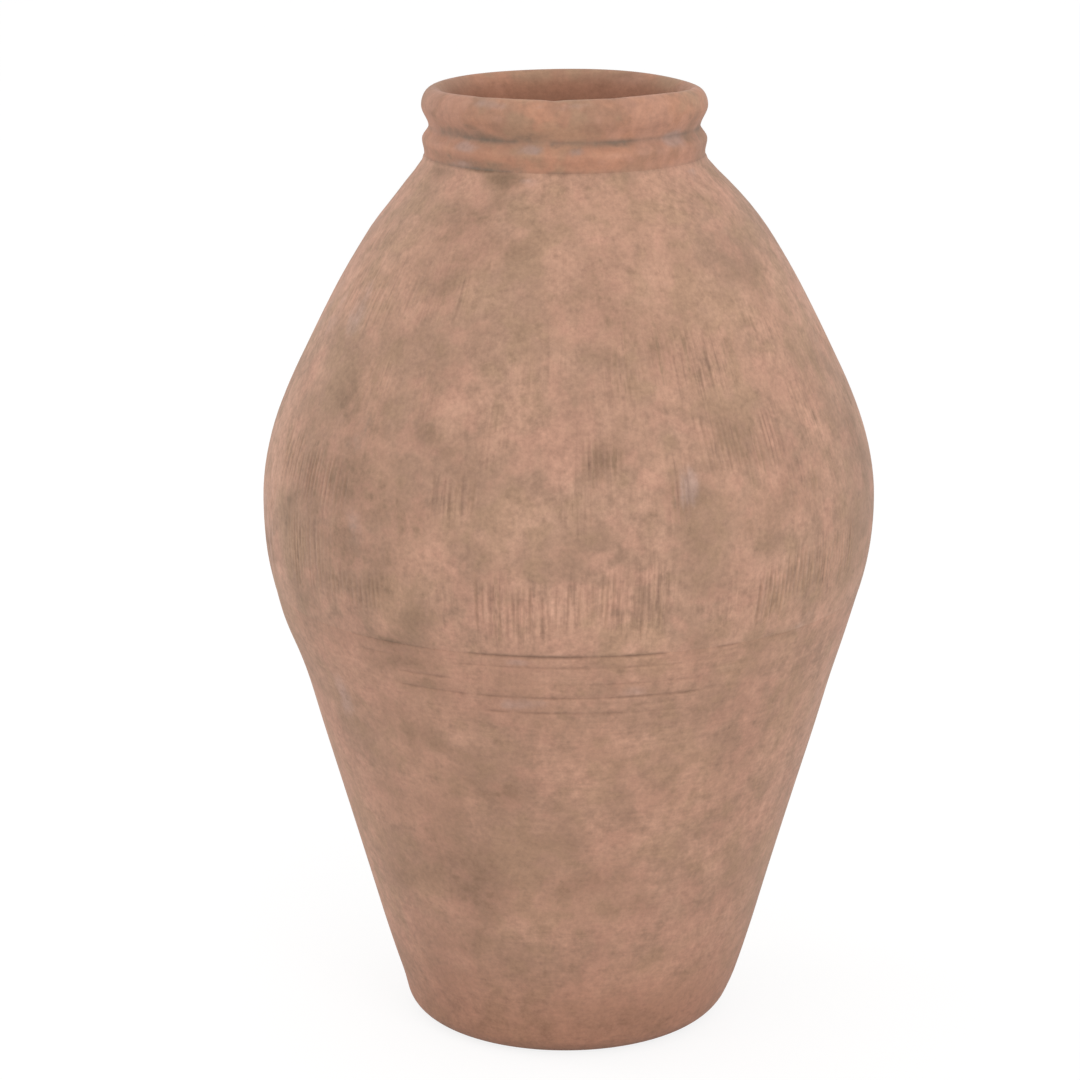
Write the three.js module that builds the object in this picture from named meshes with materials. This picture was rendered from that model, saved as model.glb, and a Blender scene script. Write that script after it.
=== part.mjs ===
// A terracotta jar about 600 mm tall, built as a potter builds one: a slab base, a lower wall and an
// upper wall thrown apart and luted at the seam, a bead and a rolled lip thrown from coils, and two
// coils of clay pressed over the joints inside.
// Millimetres, +Z up, with the origin at the centre of the flat underside.
import * as THREE from "three";

// Slab base
const FOOT_RADIUS = 84; // flat underside
const FOOT_CORNER = 22; // radius of the rounded edge between the underside and the wall
const FOOT_LEAN = 19.5; // degrees that the wall leans out above that edge
const SLAB_THICKNESS = 18; // under the foot of the wall
const REGISTER_HEIGHT = 4; // raised middle of the slab, which centres the wall

// Body outline, as stations that stack up from the rounded edge of the foot: how far each is above
// the one before, its outer radius, and the degrees that the wall leans out there
const FLARE_RISE = 60.3;
const FLARE_RADIUS = 123.5;
const FLARE_LEAN = 15.5;
const SEAM_RISE = 213;
const SEAM_RADIUS = 185.7;
const SEAM_LEAN = 17;
const BELLY_RISE = 54.5;
const BELLY_RADIUS = 192.8;
const SHOULDER_RISE = 82.5;
const SHOULDER_RADIUS = 170.3;
const SHOULDER_LEAN = -25.8;
const COLLAR_RISE = 83;
const COLLAR_RADIUS = 126.5;
const COLLAR_LEAN = -31.8;
const CREASE_RISE = 50;
const CREASE_LEAN = -35.5;
const BODY_WALL = 11; // thickness of both thrown walls

// Neck: a bead and a rolled lip on each side of a soft groove
const NECK_RADIUS = 83.9; // in the groove
const NECK_WALL = 11.2; // in the groove
const CREASE_PROUD = 3.1; // crease under the bead, out from the groove
const BEAD_RISE = 9.8; // crease to the crest of the bead
const BEAD_PROUD = 4.1;
const BEAD_LEAN = 12; // degrees that the bead leans out above the crease
const GROOVE_RISE = 8.1; // crest of the bead to the groove
const LIP_RISE = 12.9; // groove to the widest part of the lip
const LIP_PROUD = 4.4;
const LIP_CROWN = 11.2; // widest part of the lip to its top

// Stepped joints: the piece below carries a tongue that stands inside the piece above
const TONGUE_SHARE = 0.45; // of the wall's thickness there
const TONGUE_HEIGHT = 6;
const JOINT_GAP = 0.3; // beside and above each tongue, and behind each coil
const SEAM_CHAMFER = 1.3; // on the lower wall's edge, seen outside as a line

// Lines scored round the lower wall while it turned
const SCORE_COUNT = 4;
const SCORE_PITCH = 9.6;
const SCORE_WIDTH = 2.6;
const SCORE_DEPTH = 0.9;

// Coils of clay pressed over the joints inside
const FLOOR_COIL_LEG = 16; // along the floor and up the wall
const FLOOR_COIL_THROAT = 3; // how near its hollow face is drawn to the corner it fills
const SEAM_COIL_HEIGHT = 30;
const SEAM_COIL_THICKNESS = 4.5;
const COIL_EDGE = 1; // thickness that a smeared edge keeps

// How finely round shapes are cut into flats
const FACETS = 48; // round the axis
const LONGEST_CHORD = 24; // rise of one straight step up a wall
const CURVE_CHORDS = 4; // on each short curve

const radians = THREE.MathUtils.degToRad;
const point = (radius, z) => new THREE.Vector2(radius, z);

const footTop = FOOT_CORNER * (1 - Math.sin(radians(FOOT_LEAN)));
const footTopRadius = FOOT_RADIUS + FOOT_CORNER * Math.cos(radians(FOOT_LEAN));
const floorTop = SLAB_THICKNESS + REGISTER_HEIGHT;
const creaseRadius = NECK_RADIUS + CREASE_PROUD;
const throatRadius = NECK_RADIUS - NECK_WALL;

const stations = [{ z: footTop, radius: footTopRadius, lean: FOOT_LEAN }];
for (const [rise, radius, lean] of [
  [FLARE_RISE, FLARE_RADIUS, FLARE_LEAN],
  [SEAM_RISE, SEAM_RADIUS, SEAM_LEAN],
  [BELLY_RISE, BELLY_RADIUS, 0],
  [SHOULDER_RISE, SHOULDER_RADIUS, SHOULDER_LEAN],
  [COLLAR_RISE, COLLAR_RADIUS, COLLAR_LEAN],
  [CREASE_RISE, creaseRadius, CREASE_LEAN],
]) {
  stations.push({ z: stations.at(-1).z + rise, radius, lean });
}

// Heights from the underside up
const seamHeight = footTop + FLARE_RISE + SEAM_RISE;
const tongueTop = seamHeight + TONGUE_HEIGHT;
const coilMiddle = seamHeight + TONGUE_HEIGHT / 2;
const coilFoot = coilMiddle - SEAM_COIL_HEIGHT / 2;
const coilTop = coilMiddle + SEAM_COIL_HEIGHT / 2;
const creaseHeight = stations.at(-1).z;
const beadHeight = creaseHeight + BEAD_RISE;
const grooveHeight = beadHeight + GROOVE_RISE;
const lipHeight = grooveHeight + LIP_RISE;

// The smooth stretch between two stations. Its parameter runs evenly with height.
function stretch(low, high) {
  const third = (high.z - low.z) / 3;
  return new THREE.CubicBezierCurve(
    point(low.radius, low.z),
    point(low.radius + third * Math.tan(radians(low.lean)), low.z + third),
    point(high.radius - third * Math.tan(radians(high.lean)), high.z - third),
    point(high.radius, high.z),
  );
}

const bodyStretches = stations.slice(1).map((high, i) => stretch(stations[i], high));

// The body's outer radius at a height, and how fast it grows with height
function outside(z) {
  if (z < footTop) {
    const below = FOOT_CORNER - z;
    const across = Math.sqrt(FOOT_CORNER * FOOT_CORNER - below * below);
    return { radius: FOOT_RADIUS + across, slope: below / across };
  }
  const curve = bodyStretches.find((each) => z < each.v3.y) ?? bodyStretches.at(-1);
  const share = (z - curve.v0.y) / (curve.v3.y - curve.v0.y);
  const heading = curve.getTangent(share);
  return { radius: curve.getPoint(share).x, slope: heading.x / heading.y };
}

const outer = (z) => outside(z).radius;
const inner = (z) => outer(z) - BODY_WALL * Math.hypot(1, outside(z).slope);
const behindCoil = (z) => inner(z) - JOINT_GAP;

// Points on a line of radii at evenly spaced heights, both ends included
function along(line, from, to, count = Math.ceil(Math.abs(to - from) / LONGEST_CHORD)) {
  return Array.from({ length: count + 1 }, (_, i) => {
    const z = from + ((to - from) * i) / count;
    return point(line(z), z);
  });
}

// One turned piece: a closed outline that runs up the outside and down the inside
function turned(name, outline, colour, roughness) {
  const closed = outline[0].x === 0 ? outline : [...outline, outline[0]];
  const geometry = new THREE.LatheGeometry(closed, FACETS).rotateX(Math.PI / 2);
  const material = new THREE.MeshStandardMaterial({ color: colour, roughness, metalness: 0 });
  const mesh = new THREE.Mesh(geometry, material);
  mesh.name = name;
  return mesh;
}

const tongueReach = (insideRadius, outsideRadius) =>
  insideRadius + (outsideRadius - insideRadius) * TONGUE_SHARE;

// The upper end of a piece, outside to inside: its shoulder, then the tongue on it
function tongue(z, outsideRadius, insideRadius, topInsideRadius) {
  const reach = tongueReach(insideRadius, outsideRadius);
  const top = z + TONGUE_HEIGHT - JOINT_GAP;
  return [point(reach, z), point(reach, top), point(topInsideRadius, top)];
}

// The lower end of a piece, inside to outside: the rebate that takes the tongue below it
function rebate(z, outsideRadius, insideRadius, topInsideRadius) {
  const reach = tongueReach(insideRadius, outsideRadius) + JOINT_GAP;
  const top = z + TONGUE_HEIGHT;
  return [point(topInsideRadius, top), point(reach, top), point(reach, z)];
}

function baseDisc() {
  const edgeTop = Math.min(footTop, SLAB_THICKNESS);
  const edgeEnd = Math.asin(edgeTop / FOOT_CORNER - 1);
  const edge = new THREE.EllipseCurve(
    FOOT_RADIUS, FOOT_CORNER, FOOT_CORNER, FOOT_CORNER, -Math.PI / 2, edgeEnd,
  );
  const startOfWall = point(outer(SLAB_THICKNESS), SLAB_THICKNESS);
  const register = behindCoil(SLAB_THICKNESS);
  return [
    point(0, 0),
    ...edge.getPoints(CURVE_CHORDS),
    ...(SLAB_THICKNESS > footTop ? [startOfWall] : []),
    point(register, SLAB_THICKNESS),
    point(register, floorTop),
    point(0, floorTop),
  ];
}

// A scored line is a shallow V, given from its lower edge up
function scoredLine(z) {
  const low = z - SCORE_WIDTH / 2;
  const high = z + SCORE_WIDTH / 2;
  return [point(outer(low), low), point(outer(z) - SCORE_DEPTH, z), point(outer(high), high)];
}

function lowerWall() {
  const scoredLines = [];
  for (let i = SCORE_COUNT; i > 0; i -= 1) {
    scoredLines.push(...scoredLine(seamHeight - i * SCORE_PITCH));
  }
  const plainTop = scoredLines.length ? scoredLines[0].y : seamHeight - SEAM_CHAMFER;
  const insideTop = tongueTop - JOINT_GAP;
  const floorCoilTop = floorTop + FLOOR_COIL_LEG;
  return [
    ...along(outer, SLAB_THICKNESS, plainTop).slice(0, -1),
    ...scoredLines,
    point(outer(seamHeight - SEAM_CHAMFER), seamHeight - SEAM_CHAMFER),
    point(outer(seamHeight) - SEAM_CHAMFER, seamHeight),
    ...tongue(seamHeight, outer(seamHeight), inner(seamHeight), inner(insideTop)),
    ...along(inner, insideTop, coilFoot).slice(1),
    ...along(inner, coilFoot, floorCoilTop).slice(1),
    ...along(inner, floorCoilTop, SLAB_THICKNESS).slice(1),
  ];
}

function upperWall() {
  const turnIn = creaseHeight - BODY_WALL / 2; // where the inside turns up into the throat
  return [
    ...along(outer, seamHeight, creaseHeight),
    ...tongue(creaseHeight, creaseRadius, throatRadius, throatRadius),
    point(throatRadius, creaseHeight),
    ...along((z) => Math.max(inner(z), throatRadius), turnIn, coilTop),
    ...along(inner, coilTop, tongueTop).slice(1, -1),
    ...rebate(seamHeight, outer(seamHeight), inner(seamHeight), inner(tongueTop)),
  ];
}

function neckRing() {
  const crease = { z: creaseHeight, radius: creaseRadius, lean: BEAD_LEAN };
  const crest = { z: beadHeight, radius: NECK_RADIUS + BEAD_PROUD, lean: 0 };
  const groove = { z: grooveHeight, radius: NECK_RADIUS, lean: 0 };
  return [
    ...stretch(crease, crest).getPoints(CURVE_CHORDS),
    ...stretch(crest, groove).getPoints(CURVE_CHORDS).slice(1),
    ...tongue(grooveHeight, NECK_RADIUS, throatRadius, throatRadius),
    ...rebate(creaseHeight, creaseRadius, throatRadius, throatRadius),
  ];
}

function rimRoll() {
  const groove = { z: grooveHeight, radius: NECK_RADIUS, lean: 0 };
  const widest = { z: lipHeight, radius: NECK_RADIUS + LIP_PROUD, lean: 0 };
  const halfWidth = (widest.radius - throatRadius) / 2;
  const crown = new THREE.EllipseCurve(
    throatRadius + halfWidth, lipHeight, halfWidth, LIP_CROWN, 0, Math.PI,
  );
  return [
    ...stretch(groove, widest).getPoints(CURVE_CHORDS).slice(0, -1),
    ...crown.getPoints(2 * CURVE_CHORDS),
    ...rebate(grooveHeight, NECK_RADIUS, throatRadius, throatRadius),
  ];
}

// Pressed into the corner of floor and wall, with a hollow face
function floorCoil() {
  const top = floorTop + FLOOR_COIL_LEG;
  const toe = behindCoil(floorTop) - FLOOR_COIL_LEG;
  const face = new THREE.QuadraticBezierCurve(
    point(behindCoil(top) - COIL_EDGE, top),
    point(behindCoil(floorTop) - FLOOR_COIL_THROAT, floorTop + FLOOR_COIL_THROAT),
    point(toe, floorTop + COIL_EDGE),
  );
  return [
    ...along(behindCoil, floorTop, top),
    ...face.getPoints(CURVE_CHORDS),
    point(toe, floorTop),
  ];
}

// Pressed over the seam, thickest halfway up the tongue
function seamCoil() {
  const face = (z) => {
    const share = (z - coilMiddle) / (SEAM_COIL_HEIGHT / 2);
    return behindCoil(z) - COIL_EDGE - (SEAM_COIL_THICKNESS - COIL_EDGE) * (1 - share * share);
  };
  return [
    ...along(behindCoil, coilFoot, tongueTop).slice(0, -1),
    ...along(behindCoil, tongueTop, coilTop),
    ...along(face, coilTop, coilFoot, CURVE_CHORDS),
  ];
}

const FIRED_CLAY = 0xb98d76;
const LIP_CLAY = 0xb9876c;
const INSIDE_CLAY = 0x9c6a54;

const jar = new THREE.Group();
jar.add(
  turned("base_disc", baseDisc(), FIRED_CLAY, 0.94),
  turned("lower_wall", lowerWall(), FIRED_CLAY, 0.93),
  turned("upper_wall", upperWall(), FIRED_CLAY, 0.93),
  turned("neck_ring", neckRing(), LIP_CLAY, 0.9),
  turned("rim_roll", rimRoll(), LIP_CLAY, 0.88),
  turned("floor_coil", floorCoil(), INSIDE_CLAY, 0.95),
  turned("seam_coil", seamCoil(), INSIDE_CLAY, 0.95),
);

export default jar;
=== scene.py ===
"""The looks of a hand-thrown terracotta jar: its turned sections, their clay, and a plain studio.

Lengths are metres, +Z is up, and the origin is the centre of the flat underside. An azimuth is in
degrees round the jar, from the front (-Y) towards the right (+X). Listed placements are in
degrees and millimetres.
"""

import logging
import math
import random
from abc import ABC, abstractmethod
from collections.abc import Callable, Iterable
from dataclasses import dataclass, field
from enum import Enum
from typing import ClassVar

import bpy
import numpy as np
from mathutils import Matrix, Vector, noise


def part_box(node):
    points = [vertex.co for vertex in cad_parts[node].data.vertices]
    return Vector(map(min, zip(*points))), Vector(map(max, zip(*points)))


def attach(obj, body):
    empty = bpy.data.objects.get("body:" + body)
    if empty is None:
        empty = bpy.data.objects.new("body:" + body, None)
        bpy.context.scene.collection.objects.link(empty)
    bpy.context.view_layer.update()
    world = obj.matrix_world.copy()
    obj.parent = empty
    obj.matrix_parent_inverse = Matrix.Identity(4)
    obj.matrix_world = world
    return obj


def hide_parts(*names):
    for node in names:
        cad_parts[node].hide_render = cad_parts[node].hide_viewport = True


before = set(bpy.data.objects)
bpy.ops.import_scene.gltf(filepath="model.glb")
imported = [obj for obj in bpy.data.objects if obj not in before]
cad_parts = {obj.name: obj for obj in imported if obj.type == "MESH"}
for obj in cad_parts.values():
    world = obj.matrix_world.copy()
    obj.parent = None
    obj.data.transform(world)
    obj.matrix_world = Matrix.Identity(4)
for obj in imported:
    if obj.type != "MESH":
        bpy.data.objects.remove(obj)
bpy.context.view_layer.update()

Colour = tuple[float, float, float, float]
# The depth of a mark in the surface, and its share at each point.
Cut = tuple[float, np.ndarray]

LOG = logging.getLogger("jar")
BODY = "root"
MM = 0.001
# Points nearer to each other than this are one.
SAME_POINT = 0.01 * MM
# Azimuths between which marks are strewn by seed, all round the back.
BACK = (75, 285)
# Without a seed, the vector noise that frays the edges of patches comes out new in each run.
NOISE_SEED = 1795731715
# Faces that meet at less than this angle are shaded smooth.
CREASE_ANGLE = math.radians(40)


# Lines of the body

@dataclass(frozen=True)
class Station:
    """A height on the body, its outer radius there, and the degrees that the wall leans out."""

    height: float
    radius: float
    lean: float

    @property
    def slope(self) -> float:
        """How fast the radius grows with height."""
        return math.tan(math.radians(self.lean))

    def curve_to(self, high: "Station", t: np.ndarray | float) -> np.ndarray | float:
        """Gives the radius on the smooth curve from here to a higher station.

        Args:
            high: the station that it ends at.
            t: how far up between the two, from 0 to 1.

        Returns:
            The radius there.
        """
        third = (high.height - self.height) / 3
        first = self.radius + third * self.slope
        second = high.radius - third * high.slope
        lower = (1 - t) ** 3 * self.radius + 3 * (1 - t) ** 2 * t * first
        return lower + (3 * (1 - t) * t**2 * second + t**3 * high.radius)


@dataclass(frozen=True)
class Sizes:
    """Heights and radii that the pieces share. The first ones come from where the solids meet."""

    slab: float
    floor: float
    seam: float
    crease: float
    groove: float
    top: float
    belly_radius: float
    bead_radius: float
    lip_radius: float
    seam_coil_foot: float
    seam_coil_top: float
    floor_coil_top: float
    foot_radius: float = 84 * MM
    foot_corner: float = 22 * MM
    foot_lean: float = 19.5
    wall: float = 11 * MM
    crease_radius: float = 87 * MM
    groove_radius: float = 83.9 * MM
    throat_radius: float = 72.7 * MM
    bead_height: float = 9.8 * MM
    bead_lean: float = -14.0
    lip_height: float = 12.9 * MM
    tongue_height: float = 6 * MM
    tongue_share: float = 0.45
    joint_gap: float = 0.3 * MM

    @classmethod
    def from_frame(cls) -> "Sizes":
        """Reads the heights and radii at which the solids meet from their boxes.

        Returns:
            The sizes.
        """
        slab_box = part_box("base_disc")
        lower_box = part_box("lower_wall")
        upper_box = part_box("upper_wall")
        neck_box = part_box("neck_ring")
        rim_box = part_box("rim_roll")
        seam_coil_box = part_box("seam_coil")
        return cls(
            slab=lower_box[0].z,
            floor=slab_box[1].z,
            seam=upper_box[0].z,
            crease=neck_box[0].z,
            groove=rim_box[0].z,
            top=rim_box[1].z,
            belly_radius=upper_box[1].x,
            bead_radius=neck_box[1].x,
            lip_radius=rim_box[1].x,
            seam_coil_foot=seam_coil_box[0].z,
            seam_coil_top=seam_coil_box[1].z,
            floor_coil_top=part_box("floor_coil")[1].z,
        )


@dataclass(frozen=True)
class BodyLine:
    """The outer and inner lines of the body, from the underside up to the crease."""

    sizes: Sizes
    stations: tuple[Station, ...]

    @classmethod
    def of(cls, sizes: Sizes) -> "BodyLine":
        """Lays out the stations up the body.

        Args:
            sizes: the jar's sizes.

        Returns:
            The line through them.
        """
        lean = math.radians(sizes.foot_lean)
        foot_top = sizes.foot_corner * (1 - math.sin(lean))
        belly = sizes.seam + 54.5 * MM
        shoulder = belly + 82.5 * MM
        return cls(sizes, (
            Station(foot_top, sizes.foot_radius + sizes.foot_corner * math.cos(lean), sizes.foot_lean),
            Station(foot_top + 60.3 * MM, 123.5 * MM, 15.5),
            Station(sizes.seam, 185.7 * MM, 17.0),
            Station(belly, sizes.belly_radius, 0.0),
            Station(shoulder, 170.3 * MM, -25.8),
            Station(shoulder + 83 * MM, 126.5 * MM, -31.8),
            Station(sizes.crease, sizes.crease_radius, -35.5),
        ))

    def outer(self, height: np.ndarray | float) -> np.ndarray:
        """Gives the outer radius.

        Args:
            height: one height or many.

        Returns:
            The radius at each.
        """
        z = np.asarray(height, dtype=float)
        corner = self.sizes.foot_corner
        below = np.clip(corner - z, 0, corner)
        radius = self.sizes.foot_radius + np.sqrt(corner * corner - below * below)
        for low, high in zip(self.stations, self.stations[1:]):
            t = np.clip((z - low.height) / (high.height - low.height), 0, 1)
            radius = np.where(z >= low.height, low.curve_to(high, t), radius)
        return radius

    def inner(self, height: np.ndarray | float) -> np.ndarray:
        """Gives the inner radius, a wall's thickness square behind the outer line.

        Args:
            height: one height or many.

        Returns:
            The radius at each.
        """
        step = 0.1 * MM
        z = np.asarray(height, dtype=float)
        slope = (self.outer(z + step) - self.outer(z - step)) / (2 * step)
        return self.outer(z) - self.sizes.wall * np.hypot(1, slope)

    def behind_coil(self, height: np.ndarray | float) -> np.ndarray:
        """Gives the radius of the back of a coil that is pressed on the wall."""
        return self.inner(height) - self.sizes.joint_gap


@dataclass
class Outline:
    """Points of a turned section, as (radius, height), in the order that a pencil draws them."""

    points: list[tuple[float, float]] = field(default_factory=list)

    def to(self, radius: float, height: float) -> "Outline":
        """Draws straight on to a point."""
        self.points.append((float(radius), float(height)))
        return self

    def follow(self, line: Callable[[float], float], heights: Iterable[float]) -> "Outline":
        """Draws along a line of radii.

        Args:
            line: the radius at any height.
            heights: where to set points on it.

        Returns:
            This outline.
        """
        for height in heights:
            self.to(line(height), height)
        return self

    def arc(self, centre: tuple[float, float], half: tuple[float, float], turn: tuple[float, float],
            steps: int) -> "Outline":
        """Draws part of an ellipse.

        Args:
            centre: its middle.
            half: its half width and half height.
            turn: degrees that it starts and ends at, 0 outwards and 90 up.
            steps: straight steps to draw it in.

        Returns:
            This outline.
        """
        for angle in np.radians(np.linspace(*turn, steps + 1)):
            self.to(centre[0] + half[0] * math.cos(angle), centre[1] + half[1] * math.sin(angle))
        return self

    def sweep(self, low: Station, high: Station, steps: int) -> "Outline":
        """Draws the smooth curve between two stations.

        Args:
            low: where it starts.
            high: where it ends.
            steps: straight steps to draw it in.

        Returns:
            This outline.
        """
        rise = high.height - low.height
        for t in np.linspace(0, 1, steps + 1):
            self.to(low.curve_to(high, t), low.height + t * rise)
        return self

    def tidy(self, closed: bool) -> list[tuple[float, float]]:
        """Drops points that repeat the one before.

        Args:
            closed: whether the outline goes back to its start.

        Returns:
            The points left.
        """
        kept: list[tuple[float, float]] = []
        for each in self.points:
            if not kept or math.dist(each, kept[-1]) > SAME_POINT:
                kept.append(each)
        if closed:
            kept.append(kept[0])
        return kept


def levels(start: float, end: float, pitch: float) -> list[float]:
    """Spaces heights evenly from start to end, at most a pitch apart."""
    steps = max(1, math.ceil(abs(end - start) / pitch))
    return [start + (end - start) * i / steps for i in range(steps + 1)]


def fade(low: float, high: float, value: np.ndarray) -> np.ndarray:
    """Rises smoothly from 0 where value is low to 1 where it is high."""
    t = np.clip((value - low) / (high - low), 0, 1)
    return t * t * (3 - 2 * t)


def hump(away: np.ndarray, reach: float) -> np.ndarray:
    """Gives 1 where away is 0, and falls off smoothly on both sides over a reach."""
    return np.exp(-((away / reach) ** 2))


# Marks left by hand, tools and fire

@dataclass(frozen=True)
class Skin:
    """Where the points of one piece lie, one value each."""

    OUTER: ClassVar[tuple[float, float]] = (2 * MM, 4 * MM)
    INNER: ClassVar[tuple[float, float]] = (4 * MM, 8 * MM)

    azimuth: np.ndarray
    height: np.ndarray
    radius: np.ndarray
    depth: np.ndarray
    stray: np.ndarray

    def turn_from(self, azimuth: float) -> np.ndarray:
        """Gives the degrees from an azimuth to each point, the short way round."""
        return (self.azimuth - azimuth + 180) % 360 - 180

    def across_from(self, azimuth: float) -> np.ndarray:
        """Gives the distance round the jar from an azimuth to each point."""
        return np.radians(self.turn_from(azimuth)) * self.radius

    @property
    def outside(self) -> np.ndarray:
        """1 on the outer face, fading to 0 behind it."""
        return 1 - fade(*self.OUTER, self.depth)

    @property
    def inside(self) -> np.ndarray:
        """1 on the inner face, fading to 0 in front of it."""
        return fade(*self.INNER, self.depth)

    @property
    def plain(self) -> np.ndarray:
        """0 all over."""
        return np.zeros_like(self.height)


@dataclass(frozen=True)
class FootWear:
    """How the foot and the lower wall are worn, and how much darker they are made towards the bottom."""

    worn: float = 0.56
    worn_above: float = 0.16
    worn_heights: tuple[float, float] = (8 * MM, 90 * MM)
    foot_darkening: float = 0.27
    foot_darkening_heights: tuple[float, float] = (10 * MM, 70 * MM)

    def bare(self, skin: Skin) -> np.ndarray:
        """Gives how far the pale skin of the clay is worn off."""
        return (self.worn_above + self.worn * (1 - fade(*self.worn_heights, skin.height))) * skin.outside

    def darkening(self, skin: Skin) -> np.ndarray:
        """Gives how much darker it is made towards the bottom."""
        return self.foot_darkening * (1 - fade(*self.foot_darkening_heights, skin.height))


class Mark(Enum):
    """A measure of the surface that each point of a piece carries for its clay."""

    COMB = "comb"
    BRUSHED = "brushed"
    SMOKE = "smoke"
    # Flush and bloom also carry painted light along the jar's left and right edges.
    FLUSH = "flush"
    BLOOM = "bloom"
    # Grime also darkens the foot towards the bottom.
    GRIME = "grime"
    RAW = "raw"


@dataclass(frozen=True)
class Blot:
    """A soft patch with a ragged edge, placed by azimuth and height.

    Its half width and half height are in millimetres, and its slant is in degrees down to the right. A patch
    smaller than RAGGED_WIDTH has a less ragged edge.
    """

    RAGGED_WIDTH: ClassVar[float] = 20.0

    azimuth: float
    height: float
    half_width: float
    half_height: float
    strength: float = 1.0
    slant: float = 0.0

    def on(self, skin: Skin) -> np.ndarray:
        """Gives how strong the patch is.

        Args:
            skin: the piece's points.

        Returns:
            The strength at each point.
        """
        ragged_across = min(1.0, self.half_width / self.RAGGED_WIDTH) * skin.stray[:, 0]
        ragged_up = min(1.0, self.half_height / self.RAGGED_WIDTH) * skin.stray[:, 1]
        across = skin.across_from(self.azimuth) + ragged_across
        up = skin.height - self.height * MM + ragged_up
        up = up + math.tan(math.radians(self.slant)) * across
        distance = (across / (self.half_width * MM)) ** 2 + (up / (self.half_height * MM)) ** 2
        return self.strength * np.exp(-distance)


@dataclass(frozen=True)
class Strewing:
    """Patches scattered by seed over the part of the jar that faces away from the front.

    Each pair is a least and a largest value. Heights and half widths are in millimetres, and the flatness is
    a patch's height as a share of its width.
    """

    seed: int
    count: int
    heights: tuple[float, float]
    half_widths: tuple[float, float]
    strengths: tuple[float, float]
    flatness: tuple[float, float] = (0.6, 1.1)

    def blots(self) -> list[Blot]:
        """Draws the patches.

        Returns:
            The patches.
        """
        draw = random.Random(self.seed)
        found = []
        for _ in range(self.count):
            half_width = draw.uniform(*self.half_widths)
            found.append(Blot(
                azimuth=draw.uniform(*BACK),
                height=draw.uniform(*self.heights),
                half_width=half_width,
                half_height=half_width * draw.uniform(*self.flatness),
                strength=draw.uniform(*self.strengths),
            ))
        return found


@dataclass(frozen=True)
class Arc:
    """A stretch of a scored line or a joint, from one azimuth to another, and how firm it is."""

    ENDS: ClassVar[tuple[float, float]] = (-1.0, 2.0)

    start: float
    end: float
    firmness: float

    def on(self, skin: Skin) -> np.ndarray:
        """Gives the stretch's firmness, which fades at both ends.

        Args:
            skin: the piece's points.

        Returns:
            The firmness at each point.
        """
        middle = (self.start + self.end) / 2
        half = (self.end - self.start) / 2
        within, beyond = self.ENDS
        return self.firmness * (1 - fade(half + within, half + beyond, np.abs(skin.turn_from(middle))))


def strongest(marks: Iterable[Blot | Arc], skin: Skin) -> np.ndarray:
    """Lays marks over each other.

    Args:
        marks: patches or stretches.
        skin: the piece's points.

    Returns:
        The firmest mark at each point, and 0 away from all of them.
    """
    total = skin.plain
    for mark in marks:
        total = np.maximum(total, mark.on(skin))
    return total


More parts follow.
